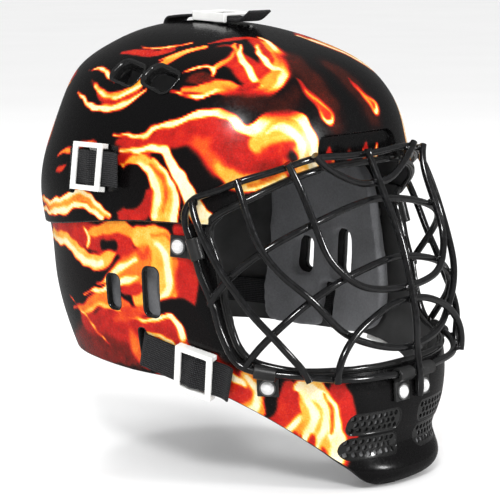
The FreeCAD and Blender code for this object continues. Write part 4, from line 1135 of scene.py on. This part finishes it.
for kind, (_, _, _, height) in STRAPS.items():
    spans = np.linspace(REAR_EDGE - 0.3, TAB_END, 14)
    lifts = RUN_IN + (TAB_IN - RUN_IN) * np.clip((REAR_EDGE - spans) / (REAR_EDGE - TAB_START - 2), 0, 1)
    line = [round_point(a, height, d) for a, d in zip(turns_at(height, TAB_IN, spans), lifts)]
    for side, sign in SIDES:
        strap_tab("%s_tab_%s" % (kind, side), line, (0, 0, 1), sign)
line = rear_points(offset_levels(TAB_IN), 40, np.linspace(*TOP_TAB, 9))
strap_tab("top_tab", line, (1, 0, 0), 1)


# ---------------- foam and chin inserts
def foam(node, look, body):
    """Die-cut foam liner: the CAD pad with its cut edges rounded over and its faces slightly uneven."""
    piece = cad_copy(node, node + "_foam", look)
    softened(piece, 1.4, 14)
    points, normals = read_points(piece.data), read_points(piece.data, "normal", 1)
    x, y, z = points.T
    rise = (0.35 * np.sin(x / 7.1 + z / 9.3) * np.sin(y / 8.2 - z / 6.1)
            + 0.18 * np.sin(x / 2.9 - y / 3.7) * np.sin(z / 3.3 + 1.0) - 0.1)
    write_points(piece.data, points + normals * rise[:, None])
    declare(piece, body, node)


GRILLE_RISE = 2.3


def flush_grille(node):
    """Honeycomb insert seated up in the wall's thickness, so that its face is almost flush."""
    piece = cad_copy(node, node + "_mesh", GRILLE_BLACK)
    points = read_points(piece.data)
    turns = np.degrees(np.arctan2(-points[:, 0], -points[:, 1]))
    rise = round_point(turns, points[:, 2], GRILLE_RISE) - round_point(turns, points[:, 2], 0.0)
    write_points(piece.data, points + rise)
    declare(piece, "shell", node)


for node in ("cheek_pad_right", "cheek_pad_left", "forehead_pad", "crown_pad"):
    foam(node, FOAM, "shell")
foam("chin_pad", FOAM_LIGHT, "shell")
foam("back_pad", FOAM, "back_plate")
for level in ("upper", "lower"):
    for side, _ in SIDES:
        flush_grille("chin_grille_%s_%s" % (level, side))


# ---------------- stage
CAMERA_AZIMUTH, CAMERA_ELEVATION, CAMERA_DISTANCE = math.radians(50), math.radians(9), 1.25
SENSOR_WIDTH, LENS = 36, 144
# Name, place in m, width in m, power in W and whether gloss shows it.
LAMPS = (("key", (-1.3, -0.9, 1.3), 0.45, 20, True), ("front_fill", (0.5, -1.6, 0.6), 0.35, 12, True),
         ("rim", (0.6, 1.2, 1.3), 0.4, 9, False))


def set_stage():
    bpy.ops.mesh.primitive_plane_add(size=30, location=(0, 0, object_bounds()[0][2]))
    floor = bpy.context.object
    floor.name = "floor"
    look = new_look("pale_floor_shaded_in_reflections")
    tone = look.ramp(look.noise(3, 2), (0.3, grey(0.93)), (0.7, grey(0.95)))
    # Painted shade: glossy rays see the floor as dark grey (0.16) instead of pale, so its reflections in the mask
    # are darkened.
    in_gloss = look.node("LightPath", "Is Glossy Ray", {})
    look.shade(Base_Color=look.mix(in_gloss, tone, grey(0.16)), Roughness=0.75)
    floor.data.materials.append(look.made)
    scene = bpy.context.scene
    scene.world = bpy.data.worlds.new("studio")
    sky = Look(scene.world, "Background")
    in_gloss = sky.node("LightPath", "Is Glossy Ray", {})
    sky.shade(Color=(1, 1, 1, 1), Strength=sky.spread(in_gloss, 0.0, 1.0, 1.05, 0.14))
    scene.view_settings.view_transform = "Standard"
    for name, place, wide, power, shown in LAMPS:
        light = bpy.data.lights.new(name, "AREA")
        light.shape, light.size, light.energy = "DISK", wide, power
        holder = bpy.data.objects.new(name, light)
        scene.collection.objects.link(holder)
        holder.location = place
        holder.rotation_euler = (-Vector(place)).to_track_quat("-Z", "Y").to_euler()
        holder.visible_glossy = shown
    flat = math.cos(CAMERA_ELEVATION)
    back = Vector((-math.sin(CAMERA_AZIMUTH) * flat, -math.cos(CAMERA_AZIMUTH) * flat, math.sin(CAMERA_ELEVATION)))
    lens = bpy.data.cameras.new("camera")
    lens.sensor_width, lens.lens = SENSOR_WIDTH, LENS
    camera = bpy.data.objects.new("camera", lens)
    scene.collection.objects.link(camera)
    camera.location = back * CAMERA_DISTANCE
    camera.rotation_euler = (-back).to_track_quat("-Z", "Y").to_euler()
    scene.camera = camera


set_stage()
